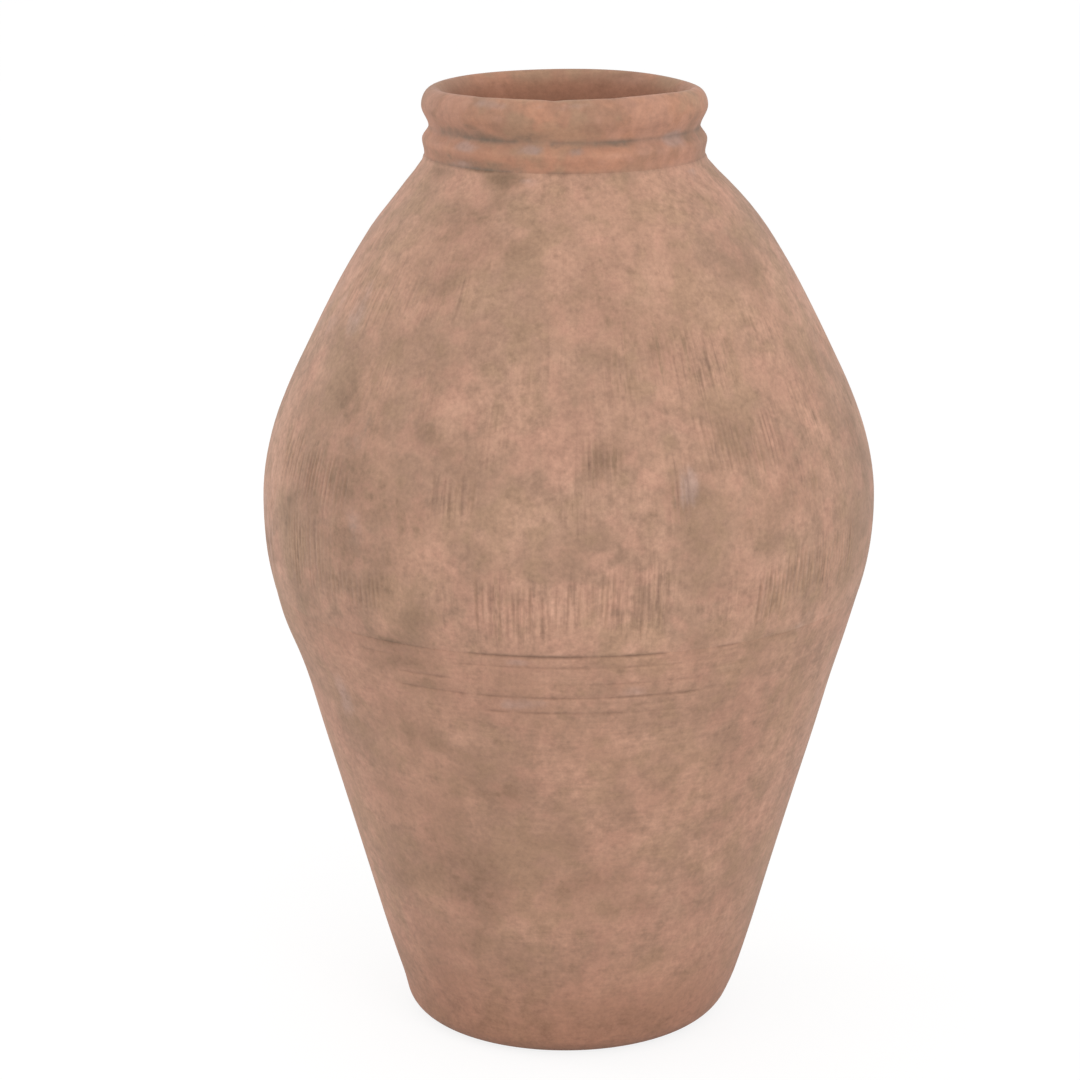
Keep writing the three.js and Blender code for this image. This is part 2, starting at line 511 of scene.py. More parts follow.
@dataclass(frozen=True)
class Stains:
    """The patches of colour that fire, damp and handling left on the outer face, and painted light: pale
    patches along the jar's left and right edges.
    """

    smoke: tuple[Blot, ...] = (
        Blot(-42, 380, 38, 24, 1.0, 20), Blot(-50, 385, 62, 54, 0.8), Blot(-29, 368, 26, 16, 0.8, 15),
        Blot(-44, 345, 24, 24, 0.9), Blot(-51, 424, 30, 16, 0.9), Blot(-36, 336, 20, 22, 1.0),
        Blot(-60, 362, 16, 30, 0.8), Blot(-58, 308, 18, 16, 0.8), Blot(-29, 413, 32, 14, 0.6, 30),
        Blot(-24, 392, 14, 12, 0.3), Blot(-33, 504, 22, 14, 0.8, -30), Blot(-33, 527, 26, 9, 0.9, -40),
        Blot(-42, 454, 24, 16, 0.7), Blot(-19, 476, 12, 8, 0.6), Blot(6, 404, 15, 12, 1.2),
        Blot(0, 490, 130, 48, 0.32),
        Blot(21, 378, 26, 11, 0.5), Blot(33, 366, 24, 12, 0.5), Blot(3, 352, 16, 10, 0.5, -20),
        Blot(74, 385, 14, 30, 1.0), Blot(68, 330, 34, 40, 0.55), Blot(-32, 274, 30, 8, 0.9),
        Blot(-27, 262, 26, 10, 0.7), Blot(8, 494, 12, 22, 0.4),
        Blot(55, 490, 14, 16, 0.5), Blot(38, 462, 16, 12, 0.6), Blot(48, 383, 18, 14, 0.5),
        Blot(-23, 554.5, 12, 3, 1.8), Blot(-19, 552, 7, 3, 1.6), Blot(-13, 579, 12, 3.6, 1.6),
        Blot(-40, 577, 26, 3.4, 1.7),
        Blot(-40, 560, 30, 4, 1.6), Blot(14, 574, 24, 2.4, 1.4), Blot(66, 574, 20, 4, 1.2),
        Blot(-41, 582, 5, 2, 1.5), Blot(-12, 572, 9, 3.4, 1.6), Blot(4, 571, 7, 3, 1.6),
        Blot(52, 576, 9, 4, 1.2), Blot(-60, 553, 16, 3, 1.4), Blot(-17, 200, 22, 12, 0.8),
        Blot(-15, 191, 28, 7, 0.9), Blot(-31, 146, 34, 18, 0.9, 10), Blot(2, 131, 20, 8, 0.7),
        Blot(-28, 118, 36, 17, 1.3, 10), Blot(-38, 150, 22, 46, 0.55), Blot(-12, 80, 20, 12, 0.4),
        Blot(-35, 287, 32, 6, 0.9), Blot(-38, 88, 34, 14, 0.9), Blot(-53, 112, 18, 14, 0.8),
        Blot(-40, 125, 26, 14, 0.8), Blot(-8, 128, 28, 10, 0.8),
        Blot(16, 112, 20, 10, 0.6), Blot(-44, 180, 22, 22, 0.7), Blot(-30, 228, 36, 12, 0.5, 18),
        Blot(25, 296, 14, 10, 0.5), Blot(56, 326, 14, 18, 0.5), Blot(19, 463, 12, 14, 0.45),
        Blot(-1, 475, 10, 12, 0.3), Blot(-30, 308, 14, 10, 0.5), Blot(30, 212, 30, 10, 0.35),
        Blot(30, 40, 26, 12, 0.4), Blot(-36, 55, 20, 12, 0.5), Blot(-2, 160, 26, 8, 0.5),
        Blot(36, 428, 26, 20, 0.3), Blot(-12, 378, 18, 14, 0.2), Blot(-60, 562, 22, 6, 0.6),
    )
    flush: tuple[Blot, ...] = (
        Blot(20, 417, 13, 8, 1.4, 25), Blot(10, 150, 16, 9, 1.0), Blot(-24, 227, 9, 8, 1.3),
        Blot(-11, 88, 14, 10, 0.8), Blot(-25, 42, 20, 9, 1.1), Blot(10, 52, 18, 12, 0.8),
        Blot(-1, 394, 18, 10, 0.8), Blot(-9, 366, 28, 14, 0.9), Blot(-24, 419, 10, 9, 0.8),
        Blot(-41, 405, 10, 8, 0.6), Blot(7, 346, 10, 12, 1.0), Blot(-27, 343, 10, 14, 0.9),
        Blot(41, 361, 12, 10, 1.0), Blot(42, 334, 18, 16, 0.9), Blot(-2, 491, 24, 12, 0.8),
        Blot(19, 495, 24, 16, 0.7), Blot(-24, 489, 12, 10, 0.9), Blot(-13, 428, 14, 10, 0.7),
        Blot(-58, 398, 14, 14, 0.7), Blot(35, 487, 16, 16, 0.6), Blot(15, 230, 30, 10, 0.7),
        Blot(6, 259, 30, 5, 1.0), Blot(32, 139, 22, 20, 0.6), Blot(-48, 307, 16, 14, 0.7),
        Blot(-8, 318, 30, 18, 0.7), Blot(14, 315, 16, 14, 0.8), Blot(-2, 222, 24, 12, 0.7),
        Blot(2, 272, 26, 4, 0.8), Blot(24, 190, 26, 20, 0.5), Blot(12, 568, 40, 5, 0.9),
        # The patches at azimuths -84, 80 and 84 on these two lines are painted light: a pale rim along the
        # jar's left and right edges.
        Blot(-84, 340, 50, 80, 2.4), Blot(80, 215, 60, 60, 3.0), Blot(60, 590, 40, 14, 2.2),
        Blot(-84, 470, 40, 60, 1.2), Blot(84, 470, 40, 60, 1.0), Blot(32, 160, 50, 60, 0.7),
        Blot(-30, 590, 20, 6, 0.5), Blot(-30, 566, 16, 3, 1.4),
        Blot(-60, 567, 20, 2.4, 1.6),
    )
    bloom: tuple[Blot, ...] = (
        Blot(-60, 476, 12, 18, 0.9), Blot(22, 388, 7, 13, 1.1), Blot(-11, 255, 16, 5, 1.1),
        Blot(-9, 284, 16, 3, 1.2), Blot(-44, 411, 12, 12, 0.6), Blot(-42, 358, 10, 14, 0.7),
        Blot(-55, 235, 12, 34, 0.8), Blot(13, 264, 12, 4, 0.7), Blot(49, 292, 14, 8, 0.7),
        Blot(-12, 572, 10, 3.4, 1.0), Blot(5, 570.5, 8, 3, 1.0), Blot(52, 575, 12, 5, 1.4),
        Blot(-44, 570, 14, 3.4, 1.3), Blot(-15, 551, 9, 3, 1.6), Blot(58, 552, 10, 4, 1.4),
        Blot(-46, 559, 14, 4, 1.0), Blot(-30, 597, 22, 3, 0.8), Blot(2, 597, 26, 2.6, 0.7),
        # These three patches are painted light: a pale rim along the jar's left and right edges.
        Blot(-80, 330, 34, 70, 0.7), Blot(74, 230, 30, 50, 0.5), Blot(-70, 470, 14, 40, 0.5),
    )
    smoke_behind: Strewing = Strewing(3, 34, (40, 560), (12, 32), (0.4, 1.0))
    flush_behind: Strewing = Strewing(11, 26, (40, 560), (12, 30), (0.4, 0.9))
    bloom_behind: Strewing = Strewing(23, 18, (60, 570), (8, 22), (0.4, 0.9))

    def measures(self, skin: Skin) -> dict[Mark, np.ndarray]:
        """Lays every kind of patch over a piece's outer face: those set by hand, and those strewn behind.

        Args:
            Lays every kind of patch over a piece's outer face: those listed, and those strewn behind.

        Returns:
            For each kind its strength at each point.
        """
        kinds = {
            Mark.SMOKE: (self.smoke, self.smoke_behind),
            Mark.FLUSH: (self.flush, self.flush_behind),
            Mark.BLOOM: (self.bloom, self.bloom_behind),
        }
        return {
            kind: strongest([*placed, *strewing.blots()], skin) * skin.outside
            for kind, (placed, strewing) in kinds.items()
        }


@dataclass(frozen=True)
class Drag:
    """One drag of the comb: its middle, its length in millimetres, its teeth, its firmness and its tilt."""

    azimuth: float
    height: float
    length: float
    teeth: int
    firmness: float
    tilt: float = 0.0


@dataclass(frozen=True)
class Comb:
    """The comb that was dragged up the soft upper wall, and all its drags."""

    tooth_pitch: float = 3.6 * MM
    tooth_width: float = 1.05 * MM
    depth: float = 0.44 * MM
    ridge: float = 0.55
    ridge_below: float = 0.2
    fade_from: float = 0.55
    firmest_hatch: float = 0.8
    drags: tuple[Drag, ...] = (
        Drag(-13, 318, 46, 7, 1.2, 2), Drag(-5.5, 316, 38, 7, 1.1, 1), Drag(1.5, 320, 40, 6, 0.9, -1),
        Drag(9, 323, 46, 7, 1.1, -1), Drag(14.5, 319, 50, 6, 1.0, 1), Drag(39, 317, 42, 6, 1.2, -2),
        Drag(46, 325, 36, 7, 1.1, -2), Drag(53, 326, 34, 6, 0.95, -2), Drag(20, 383, 40, 5, 0.95, 1),
        Drag(36, 404, 36, 6, 1.0, 2), Drag(29, 409, 44, 7, 1.0, 3), Drag(42, 409, 44, 6, 0.9, 1),
        Drag(6, 404, 32, 7, 0.75, 0), Drag(11, 450, 40, 7, 0.7, 3), Drag(19, 462, 42, 8, 0.7, 4),
        Drag(27, 456, 48, 7, 0.85, 8), Drag(34, 452, 42, 7, 0.8, 8), Drag(-9, 452, 32, 8, 0.5, -1),
        Drag(-3, 456, 30, 6, 0.4, 0), Drag(-21, 383, 30, 8, 0.9, 0), Drag(-28, 497, 44, 8, 0.45, -3),
        Drag(-64, 488, 44, 8, 0.5, -4), Drag(-56, 480, 40, 7, 0.5, -3), Drag(-48, 486, 46, 8, 0.5, -3),
        Drag(-40, 492, 40, 7, 0.45, -2), Drag(-33, 484, 38, 7, 0.4, -2), Drag(-64, 385, 36, 7, 0.9, 0),
        Drag(-56, 380, 34, 8, 1.1, 1), Drag(-48, 376, 36, 7, 0.9, 1), Drag(-58, 333, 60, 8, 0.8, 0),
        Drag(-51, 335, 58, 7, 0.65, 0), Drag(-46, 318, 30, 7, 0.9, 1), Drag(-39, 318, 28, 7, 0.9, 1),
        Drag(-32, 322, 30, 6, 0.35, 0), Drag(-23, 316, 32, 7, 0.45, 1), Drag(24, 320, 40, 7, 0.35, 0),
        Drag(31, 316, 34, 6, 0.4, 0), Drag(1, 378, 34, 6, 0.6, 0), Drag(48, 380, 36, 7, 0.6, 0),
        Drag(60, 330, 40, 8, 0.7, -1), Drag(56, 420, 50, 8, 0.5, 1), Drag(-14, 412, 34, 7, 0.4, 1),
        Drag(52, 470, 46, 8, 0.4, 3), Drag(0, 500, 36, 8, 0.25, 0), Drag(22, 508, 34, 7, 0.3, 2),
        Drag(-30, 430, 36, 7, 0.5, -1), Drag(-42, 440, 36, 8, 0.55, -1), Drag(14, 345, 26, 6, 0.3, 0),
    )
    rows: tuple[float, ...] = (318, 350, 382, 414, 446, 478, 508, 534)
    drags_in_first_row: int = 44
    fewer_each_row: int = 3
    patches_round: float = 2.2
    patch_height: float = 45.0
    mean_share: float = 0.45
    patchiness: float = 1.1
    weaker_each_row: float = 0.035
    least_share: float = 0.12
    front: float = 60.0
    front_share: float = 0.4
    strewn_seed: int = 17
    tooth_seed: int = 5
    tooth_stray: float = 0.16
    tooth_reach: tuple[float, float] = (0.7, 1.05)
    tooth_bite: tuple[float, float] = (0.45, 1.0)

    def strewn_share(self, azimuth: float, row: int) -> float:
        """Gives how firm the strewn drags are: patchy, weaker higher up, and weak where the others show.

        Args:
            azimuth: of the drag.
            row: how many rows up it is.

        Returns:
            The share of its firmness that is left.
        """
        around = math.radians(azimuth)
        place = Vector((
            self.patches_round * math.cos(around),
            self.patches_round * math.sin(around),
            self.rows[row] / self.patch_height,
        ))
        share = self.mean_share + self.patchiness * noise.noise(place) - self.weaker_each_row * row
        share = min(1.0, max(self.least_share, share))
        at_front = abs((azimuth + 180) % 360 - 180) < self.front
        return share * (self.front_share if at_front else 1.0)

    def all_drags(self) -> list[Drag]:
        """Lists the drags given for the front, and those drawn by seed all round.

        Returns:
            The drags.
        """
        draw = random.Random(self.strewn_seed)
        found = list(self.drags)
        for row, height in enumerate(self.rows):
            count = self.drags_in_first_row - self.fewer_each_row * row
            for i in range(count):
                azimuth = 360 * (i + draw.uniform(-0.3, 0.3)) / count
                found.append(Drag(
                    azimuth=azimuth,
                    height=height + draw.uniform(-9, 9),
                    length=draw.uniform(24, 46),
                    teeth=draw.randint(5, 9),
                    firmness=draw.uniform(0.5, 1.0) * self.strewn_share(azimuth, row),
                    tilt=draw.uniform(-4, 4),
                ))
        return found

    def furrows(self, skin: Skin) -> np.ndarray:
        """Works out how deep the comb went at each point.

        Args:
            skin: the piece's points.

        Returns:
            0 where it left the wall alone, up to 1 where it was pressed hardest, and less than 0 on the
            ridges that it raised between the furrows.
        """
        draw = random.Random(self.tooth_seed)
        cut = skin.plain
        raised = skin.plain
        for drag in self.all_drags():
            half_length = drag.length * MM / 2
            half_width = (drag.teeth / 2 + 1) * self.tooth_pitch
            across = skin.across_from(drag.azimuth)
            up = skin.height - drag.height * MM
            near = np.nonzero((np.abs(across) < 2 * half_width) & (np.abs(up) < 1.5 * half_length))[0]
            lean = across[near] + math.tan(math.radians(drag.tilt)) * up[near]
            for tooth in range(drag.teeth):
                stray = draw.uniform(-self.tooth_stray, self.tooth_stray)
                place = (tooth - (drag.teeth - 1) / 2 + stray) * self.tooth_pitch
                middle = draw.uniform(-self.tooth_stray, self.tooth_stray) * half_length
                reach = half_length * draw.uniform(*self.tooth_reach)
                bite = drag.firmness * draw.uniform(*self.tooth_bite)
                line = hump(lean - place, self.tooth_width)
                beside = hump(np.abs(lean - place) - self.tooth_pitch / 2, self.tooth_width)
                ends = 1 - fade(self.fade_from * reach, reach, np.abs(up[near] - middle))
                cut[near] = np.maximum(cut[near], bite * line * ends)
                raised[near] = np.maximum(raised[near], bite * beside * ends)
        return (cut - self.ridge * raised * (cut < self.ridge_below)) * skin.outside

    def brushed(self, skin: Skin) -> np.ndarray:
        """Works out how much of the comb's fine hatching shows at each point.

        Args:
            skin: the piece's points.

        Returns:
            0 where the wall was wiped smooth again, up to 1 under the firmest drags.
        """
        total = skin.plain
        for drag in self.all_drags():
            across = (skin.across_from(drag.azimuth) + skin.stray[:, 0]) / (drag.teeth / 2 * self.tooth_pitch)
            up = (skin.height - drag.height * MM + skin.stray[:, 1]) / (drag.length * MM / 2)
            firmness = min(self.firmest_hatch, drag.firmness)
            total = np.maximum(total, firmness * np.exp(-(across**2) - up**4))
        return total * skin.outside


@dataclass(frozen=True)
class ScoredLine:
    """A line scored round the lower wall as it turned: millimetres below the seam, and where it shows."""

    below_seam: float
    arcs: tuple[Arc, ...]
    seed: int
    wavering: float = 0.4 * MM
    behind: tuple[float, float] = (82.0, 276.0)
    shortest: float = 6.0

    def all_arcs(self) -> list[Arc]:
        """Lists the stretches given for the front, and those drawn by seed round the back.

        Returns:
            The stretches.
        """
        draw = random.Random(self.seed)
        found = list(self.arcs)
        start, last = self.behind
        while start < last - self.shortest:
            end = min(start + draw.uniform(14, 60), last)
            found.append(Arc(start, end, draw.uniform(0.25, 0.9)))
            start = end + draw.uniform(3, 14)
        return found

    def waver(self, azimuth: np.ndarray) -> np.ndarray:
        """Gives how far the line strays up or down at each azimuth."""
        turn = np.radians(azimuth)
        return self.wavering * (np.sin(2 * turn + self.seed) + 0.6 * np.sin(5 * turn + 2 * self.seed))


@dataclass(frozen=True)
class Scoring:
    """The lines scored under the seam: each a narrow cut in a shallow valley."""

    half_width: float = 1.0 * MM
    valley: float = 2.6 * MM
    valley_share: float = 0.4
    depth: float = 0.7 * MM
    lines: tuple[ScoredLine, ...] = (
        ScoredLine(8.0, (Arc(-42, -36, 0.6), Arc(-20, 16, 0.6), Arc(17, 22, 0.4), Arc(23, 34, 0.4)), 1),
        ScoredLine(19.0, (Arc(-33, -23, 0.8), Arc(-12, 3, 0.35), Arc(4, 16, 0.6), Arc(19, 34, 0.5)), 2),
        ScoredLine(28.0, (Arc(-34, -20, 0.8), Arc(-17, -10, 0.9), Arc(-9, 26, 0.9), Arc(27, 35, 0.4)), 3),
        ScoredLine(38.3, (Arc(-28, -19, 0.4), Arc(-16, -12, 1.0), Arc(-10, 11, 0.8), Arc(12, 23, 0.5)), 4),
    )

    def furrows(self, skin: Skin, seam: float) -> np.ndarray:
        """Works out how deep the lines are at each point.

        Args:
            skin: the piece's points.
            seam: the seam's height.

        Returns:
            0 on the plain wall, up to 1 in the firmest line.
        """
        cut = skin.plain
        for line in self.lines:
            away = skin.height - (seam - line.below_seam * MM) - line.waver(skin.azimuth)
            profile = (1 - self.valley_share) * hump(away, self.half_width)
            profile += self.valley_share * hump(away, self.valley)
            cut = np.maximum(cut, profile * strongest(line.all_arcs(), skin))
        return cut * skin.outside


@dataclass(frozen=True)
class Joint:
    """The line where two sections were luted together: wiped over in some places, open in others."""

    half_width: float
    depth: float
    open_arcs: tuple[Arc, ...]
    open_dirt: float = 0.4
    edge_power: float = 1.5

    def furrow(self, skin: Skin, height: float) -> np.ndarray:
        """Works out how open the joint is.

        Args:
            skin: the piece's points.
            height: of the joint.

        Returns:
            0 away from it, up to 1 where it is open.
        """
        away = np.abs(skin.height - height) / self.half_width
        return strongest(self.open_arcs, skin) * np.exp(-(away**self.edge_power)) * skin.outside

    def cut(self, skin: Skin, height: float) -> Cut:
        """Gives the furrow as a cut."""
        return self.depth, self.furrow(skin, height)

    def dirt(self, skin: Skin, height: float, haze: float = 0.0, reach: float = MM) -> np.ndarray:
        """Gives how much dirt has settled along the joint.

        Args:
            skin: the piece's points.
            height: of the joint.
            haze: how much of it lies beside the joint all round, wiped or open.
            reach: how far from the joint that lies.

        Returns:
            The dirt at each point.
        """
        beside = hump(skin.height - height, reach) * skin.outside
        return haze * beside + self.open_dirt * self.furrow(skin, height)


SEAM = Joint(1.6 * MM, 0.5 * MM, (
    Arc(-44, -37, 0.55), Arc(-36, -26, 0.75), Arc(-25, -19, 0.4), Arc(-18, 18, 1.0), Arc(19, 27, 0.2),
    Arc(28, 33, 0.6), Arc(39, 44, 0.5), Arc(45, 64, 0.25), Arc(86, 112, 0.7), Arc(120, 131, 0.9),
    Arc(140, 186, 0.5), Arc(198, 216, 0.8), Arc(222, 229, 0.4), Arc(246, 272, 0.7),
), open_dirt=0.75)
CREASE = Joint(1.5 * MM, 0.35 * MM, (
    Arc(-74, -56, 0.4), Arc(-54, -22, 0.8), Arc(-6, 6, 0.6), Arc(18, 24, 0.2), Arc(95, 140, 0.8),
    Arc(150, 204, 0.6), Arc(212, 260, 0.9),
))
GROOVE = Joint(1.4 * MM, 0.35 * MM, (
    Arc(-47, -20, 0.7), Arc(-5, 26, 0.6), Arc(24, 80, 0.7), Arc(84, 118, 0.6), Arc(126, 190, 0.9),
    Arc(205, 250, 0.7),
))


@dataclass(frozen=True)
class HandForm:
    """How the hand-made jar strays from true. The same push at the same place keeps the joints shut.

    Each wave of the rim is given by its number of crests, the azimuth of one, and its share of the lift.
    """

    neck_shift: float = -2.8 * MM
    waist_shift: float = -0.8 * MM
    foot_shift: float = -2.6 * MM
    seam_bulge: float = -1.6 * MM
    neck_blend: tuple[float, float] = (-34 * MM, 4 * MM)
    waist_reach: float = 34 * MM
    foot_blend: tuple[float, float] = (-3 * MM, 30 * MM)
    bulge_drop: float = 20 * MM
    bulge_reach: float = 18 * MM
    rim_lift: float = 2 * MM
    rim_waves: tuple[tuple[int, float, float], ...] = (
        (0, 0, 0.155), (1, 12, 0.3), (2, 12, 0.435), (3, 50, 0.195), (4, -37, 0.155),
    )
    wobble: float = 1.1 * MM
    cage_width: float = 2.2
    cage_rise: float = 1.05
    cage_points: tuple[int, int, int] = (5, 5, 8)
    seed: int = 29

    def cage(self, top: float, radius: float) -> bpy.types.Object:
        """Makes the cage of points that bends every piece alike.

        Args:
            top: the jar's height.
            radius: its largest radius.

        Returns:
            The lattice.
        """
        bpy.ops.object.select_all(action="DESELECT")
        bpy.ops.object.add(type="LATTICE", location=(0, 0, top / 2))
        cage = bpy.context.object
        cage.scale = (self.cage_width * radius, self.cage_width * radius, self.cage_rise * top)
        cage.data.points_u, cage.data.points_v, cage.data.points_w = self.cage_points
        draw = random.Random(self.seed)
        for point in cage.data.points:
            point.co_deform.x += draw.uniform(-1, 1) * self.wobble / cage.scale.x
            point.co_deform.y += draw.uniform(-1, 1) * self.wobble / cage.scale.y
        return cage

    def pushes(self, skin: Skin, sizes: Sizes) -> list[tuple[str, str, float, np.ndarray]]:
        """Gives the shifts of neck, waist and foot, the bulge at the left, and the rim's waves.

        Args:
            skin: the piece's points.
            sizes: the jar's sizes.

        Returns:
            For each its name, direction and length, and its share at each point.
        """
        z = skin.height
        neck = fade(sizes.crease + self.neck_blend[0], sizes.crease + self.neck_blend[1], z)
        waist = hump(z - sizes.seam, self.waist_reach)
        foot = 1 - fade(*self.foot_blend, z)
        left = np.clip(-np.sin(np.radians(skin.azimuth)), 0, 1) ** 2
        bulge = left * hump(z - sizes.seam + self.bulge_drop, self.bulge_reach)
        waves = [
            share * np.cos(times * np.radians(skin.turn_from(azimuth)))
            for times, azimuth, share in self.rim_waves
        ]
        lift = sum(waves) * fade(sizes.groove, sizes.top, z)
        return [
            ("neck_shift", "X", self.neck_shift, neck),
            ("waist_shift", "X", self.waist_shift, waist),
            ("foot_shift", "X", self.foot_shift, foot),
            ("seam_bulge", "X", self.seam_bulge, bulge),
            ("rim_lift", "Z", self.rim_lift, lift),
        ]


# Clay

class Reading:
    """A number that a shader node gives. Sums written on it add Math nodes."""

    def __init__(self, graph: "Graph", socket: bpy.types.NodeSocket) -> None:
        """Keeps the graph and the socket."""
        self.graph = graph
        self.socket = socket

    def sum(self, operation: str, *terms: "Reading | float") -> "Reading":
        """Adds a Math node.

        Args:
            operation: what it does.
            terms: its inputs in order.

        Returns:
            Its result.
        """
        made = self.graph.node("ShaderNodeMath", {"operation": operation}, dict(enumerate(terms)))
        return Reading(self.graph, made.outputs[0])

    def __add__(self, other: "Reading | float") -> "Reading":
        """Adds."""
        return self.sum("ADD", self, other)

    def __radd__(self, other: float) -> "Reading":
        """Adds to a plain number."""
        return self.sum("ADD", other, self)

    def __sub__(self, other: "Reading | float") -> "Reading":
        """Subtracts."""
        return self.sum("SUBTRACT", self, other)

    def __rsub__(self, other: float) -> "Reading":
        """Subtracts from a plain number."""
        return self.sum("SUBTRACT", other, self)

    def __mul__(self, other: "Reading | float") -> "Reading":
        """Multiplies."""
        return self.sum("MULTIPLY", self, other)

    def __rmul__(self, other: float) -> "Reading":
        """Multiplies a plain number."""
        return self.sum("MULTIPLY", other, self)

    def most(self, other: "Reading | float") -> "Reading":
        """Gives the larger of two numbers."""
        return self.sum("MAXIMUM", self, other)

    def fade(self, low: float, high: float) -> "Reading":
        """Rises smoothly from 0 where the number is low to 1 where it is high.

        Args:
            low: the number up to which the result is 0.
            high: the number from which the result is 1.

        Returns:
            The result.
        """
        return self.graph.reading(
            "ShaderNodeMapRange", "Result", {"interpolation_type": "SMOOTHSTEP"},
            {"Value": self, "From Min": low, "From Max": high})


@dataclass(frozen=True)
class Pattern:
    """A noise pattern: patches in a metre, finer layers, how strong these are, and how far it is swirled."""

    scale: float
    detail: float = 4.0
    roughness: float = 0.55
    swirl: float = 0.0


class Graph:
    """The nodes of one material or world."""

    def __init__(self, tree: bpy.types.NodeTree) -> None:
        """Starts with an empty tree."""
        self.tree = tree
        self.tree.nodes.clear()

    def node(self, kind: str, settings: dict[str, object] | None = None,
             inputs: dict[str | int, object] | None = None) -> bpy.types.Node:
        """Adds one node.

        Args:
            kind: the node's type.
            settings: its settings, which come first.
            inputs: a value or a link for each socket, by name or number.

        Returns:
            The node.
        """
        made = self.tree.nodes.new(kind)
        for key, value in (settings or {}).items():
            setattr(made, key, value)
        for key, value in (inputs or {}).items():
            source = value.socket if isinstance(value, Reading) else value
            if isinstance(source, bpy.types.NodeSocket):
                self.tree.links.new(source, made.inputs[key])
            else:
                made.inputs[key].default_value = source
        return made

    def reading(self, kind: str, output: str, settings: dict[str, object] | None = None,
                inputs: dict[str | int, object] | None = None) -> Reading:
        """Adds one node and reads one of its outputs."""
        return Reading(self, self.node(kind, settings, inputs).outputs[output])

    def mark(self, mark: Mark) -> Reading:
        """Reads a measure that the piece's points carry."""
        return self.reading("ShaderNodeAttribute", "Fac", {"attribute_name": mark.value})

    def seen(self) -> Reading:
        """Tells apart the rays that show the background: the camera's and those off gloss or through glass.

        Returns:
            1 for those rays and 0 for the rest.
        """
        rays = self.node("ShaderNodeLightPath")
        found = Reading(self, rays.outputs["Is Camera Ray"])
        for name in ("Is Glossy Ray", "Is Transmission Ray"):
            found = found.most(Reading(self, rays.outputs[name]))
        return found

    def cloud(self, place: bpy.types.NodeSocket, pattern: Pattern) -> Reading:
        """Adds a noise texture.

        Args:
            place: where to read it.
            pattern: its sizes.

        Returns:
            Its value, near 0.5 on average.
        """
        return self.reading("ShaderNodeTexNoise", "Fac", inputs={
            "Vector": place, "Scale": pattern.scale, "Detail": pattern.detail,
            "Roughness": pattern.roughness, "Distortion": pattern.swirl,
        })

    def swing(self, place: bpy.types.NodeSocket, pattern: Pattern) -> Reading:
        """Adds a noise texture whose value swings about 0."""
        return self.cloud(place, pattern) - 0.5

    def blend(self, share: Reading | float, base: object, over: object,
              kind: str = "MIX") -> bpy.types.NodeSocket:
        """Lays one colour over another.

        Args:
            share: how much of the upper colour shows.
            base: the lower colour.
            over: the upper colour.
            kind: how they mix.

        Returns:
            The colour that results.
        """
        made = self.node(
            "ShaderNodeMix",
            {"data_type": "RGBA", "blend_type": kind, "clamp_factor": True},
            {0: share, 6: base, 7: over},
        )
        return made.outputs[2]


def linear(part: int) -> float:
    """Turns one channel of a screen's colour, 0 to 255, into the linear value that a shader takes."""
    share = part / 255
    return share / 12.92 if share <= 0.04045 else ((share + 0.055) / 1.055) ** 2.4


def tone(red: int, green: int, blue: int) -> Colour:
    """Turns a screen's colour into the one that a shader takes."""
    return (linear(red), linear(green), linear(blue), 1.0)


class Streak(Enum):
    """Which way a tool or a wet hand smeared the clay."""

    UPRIGHT = "upright"
    LEVEL = "level"
    NONE = "none"


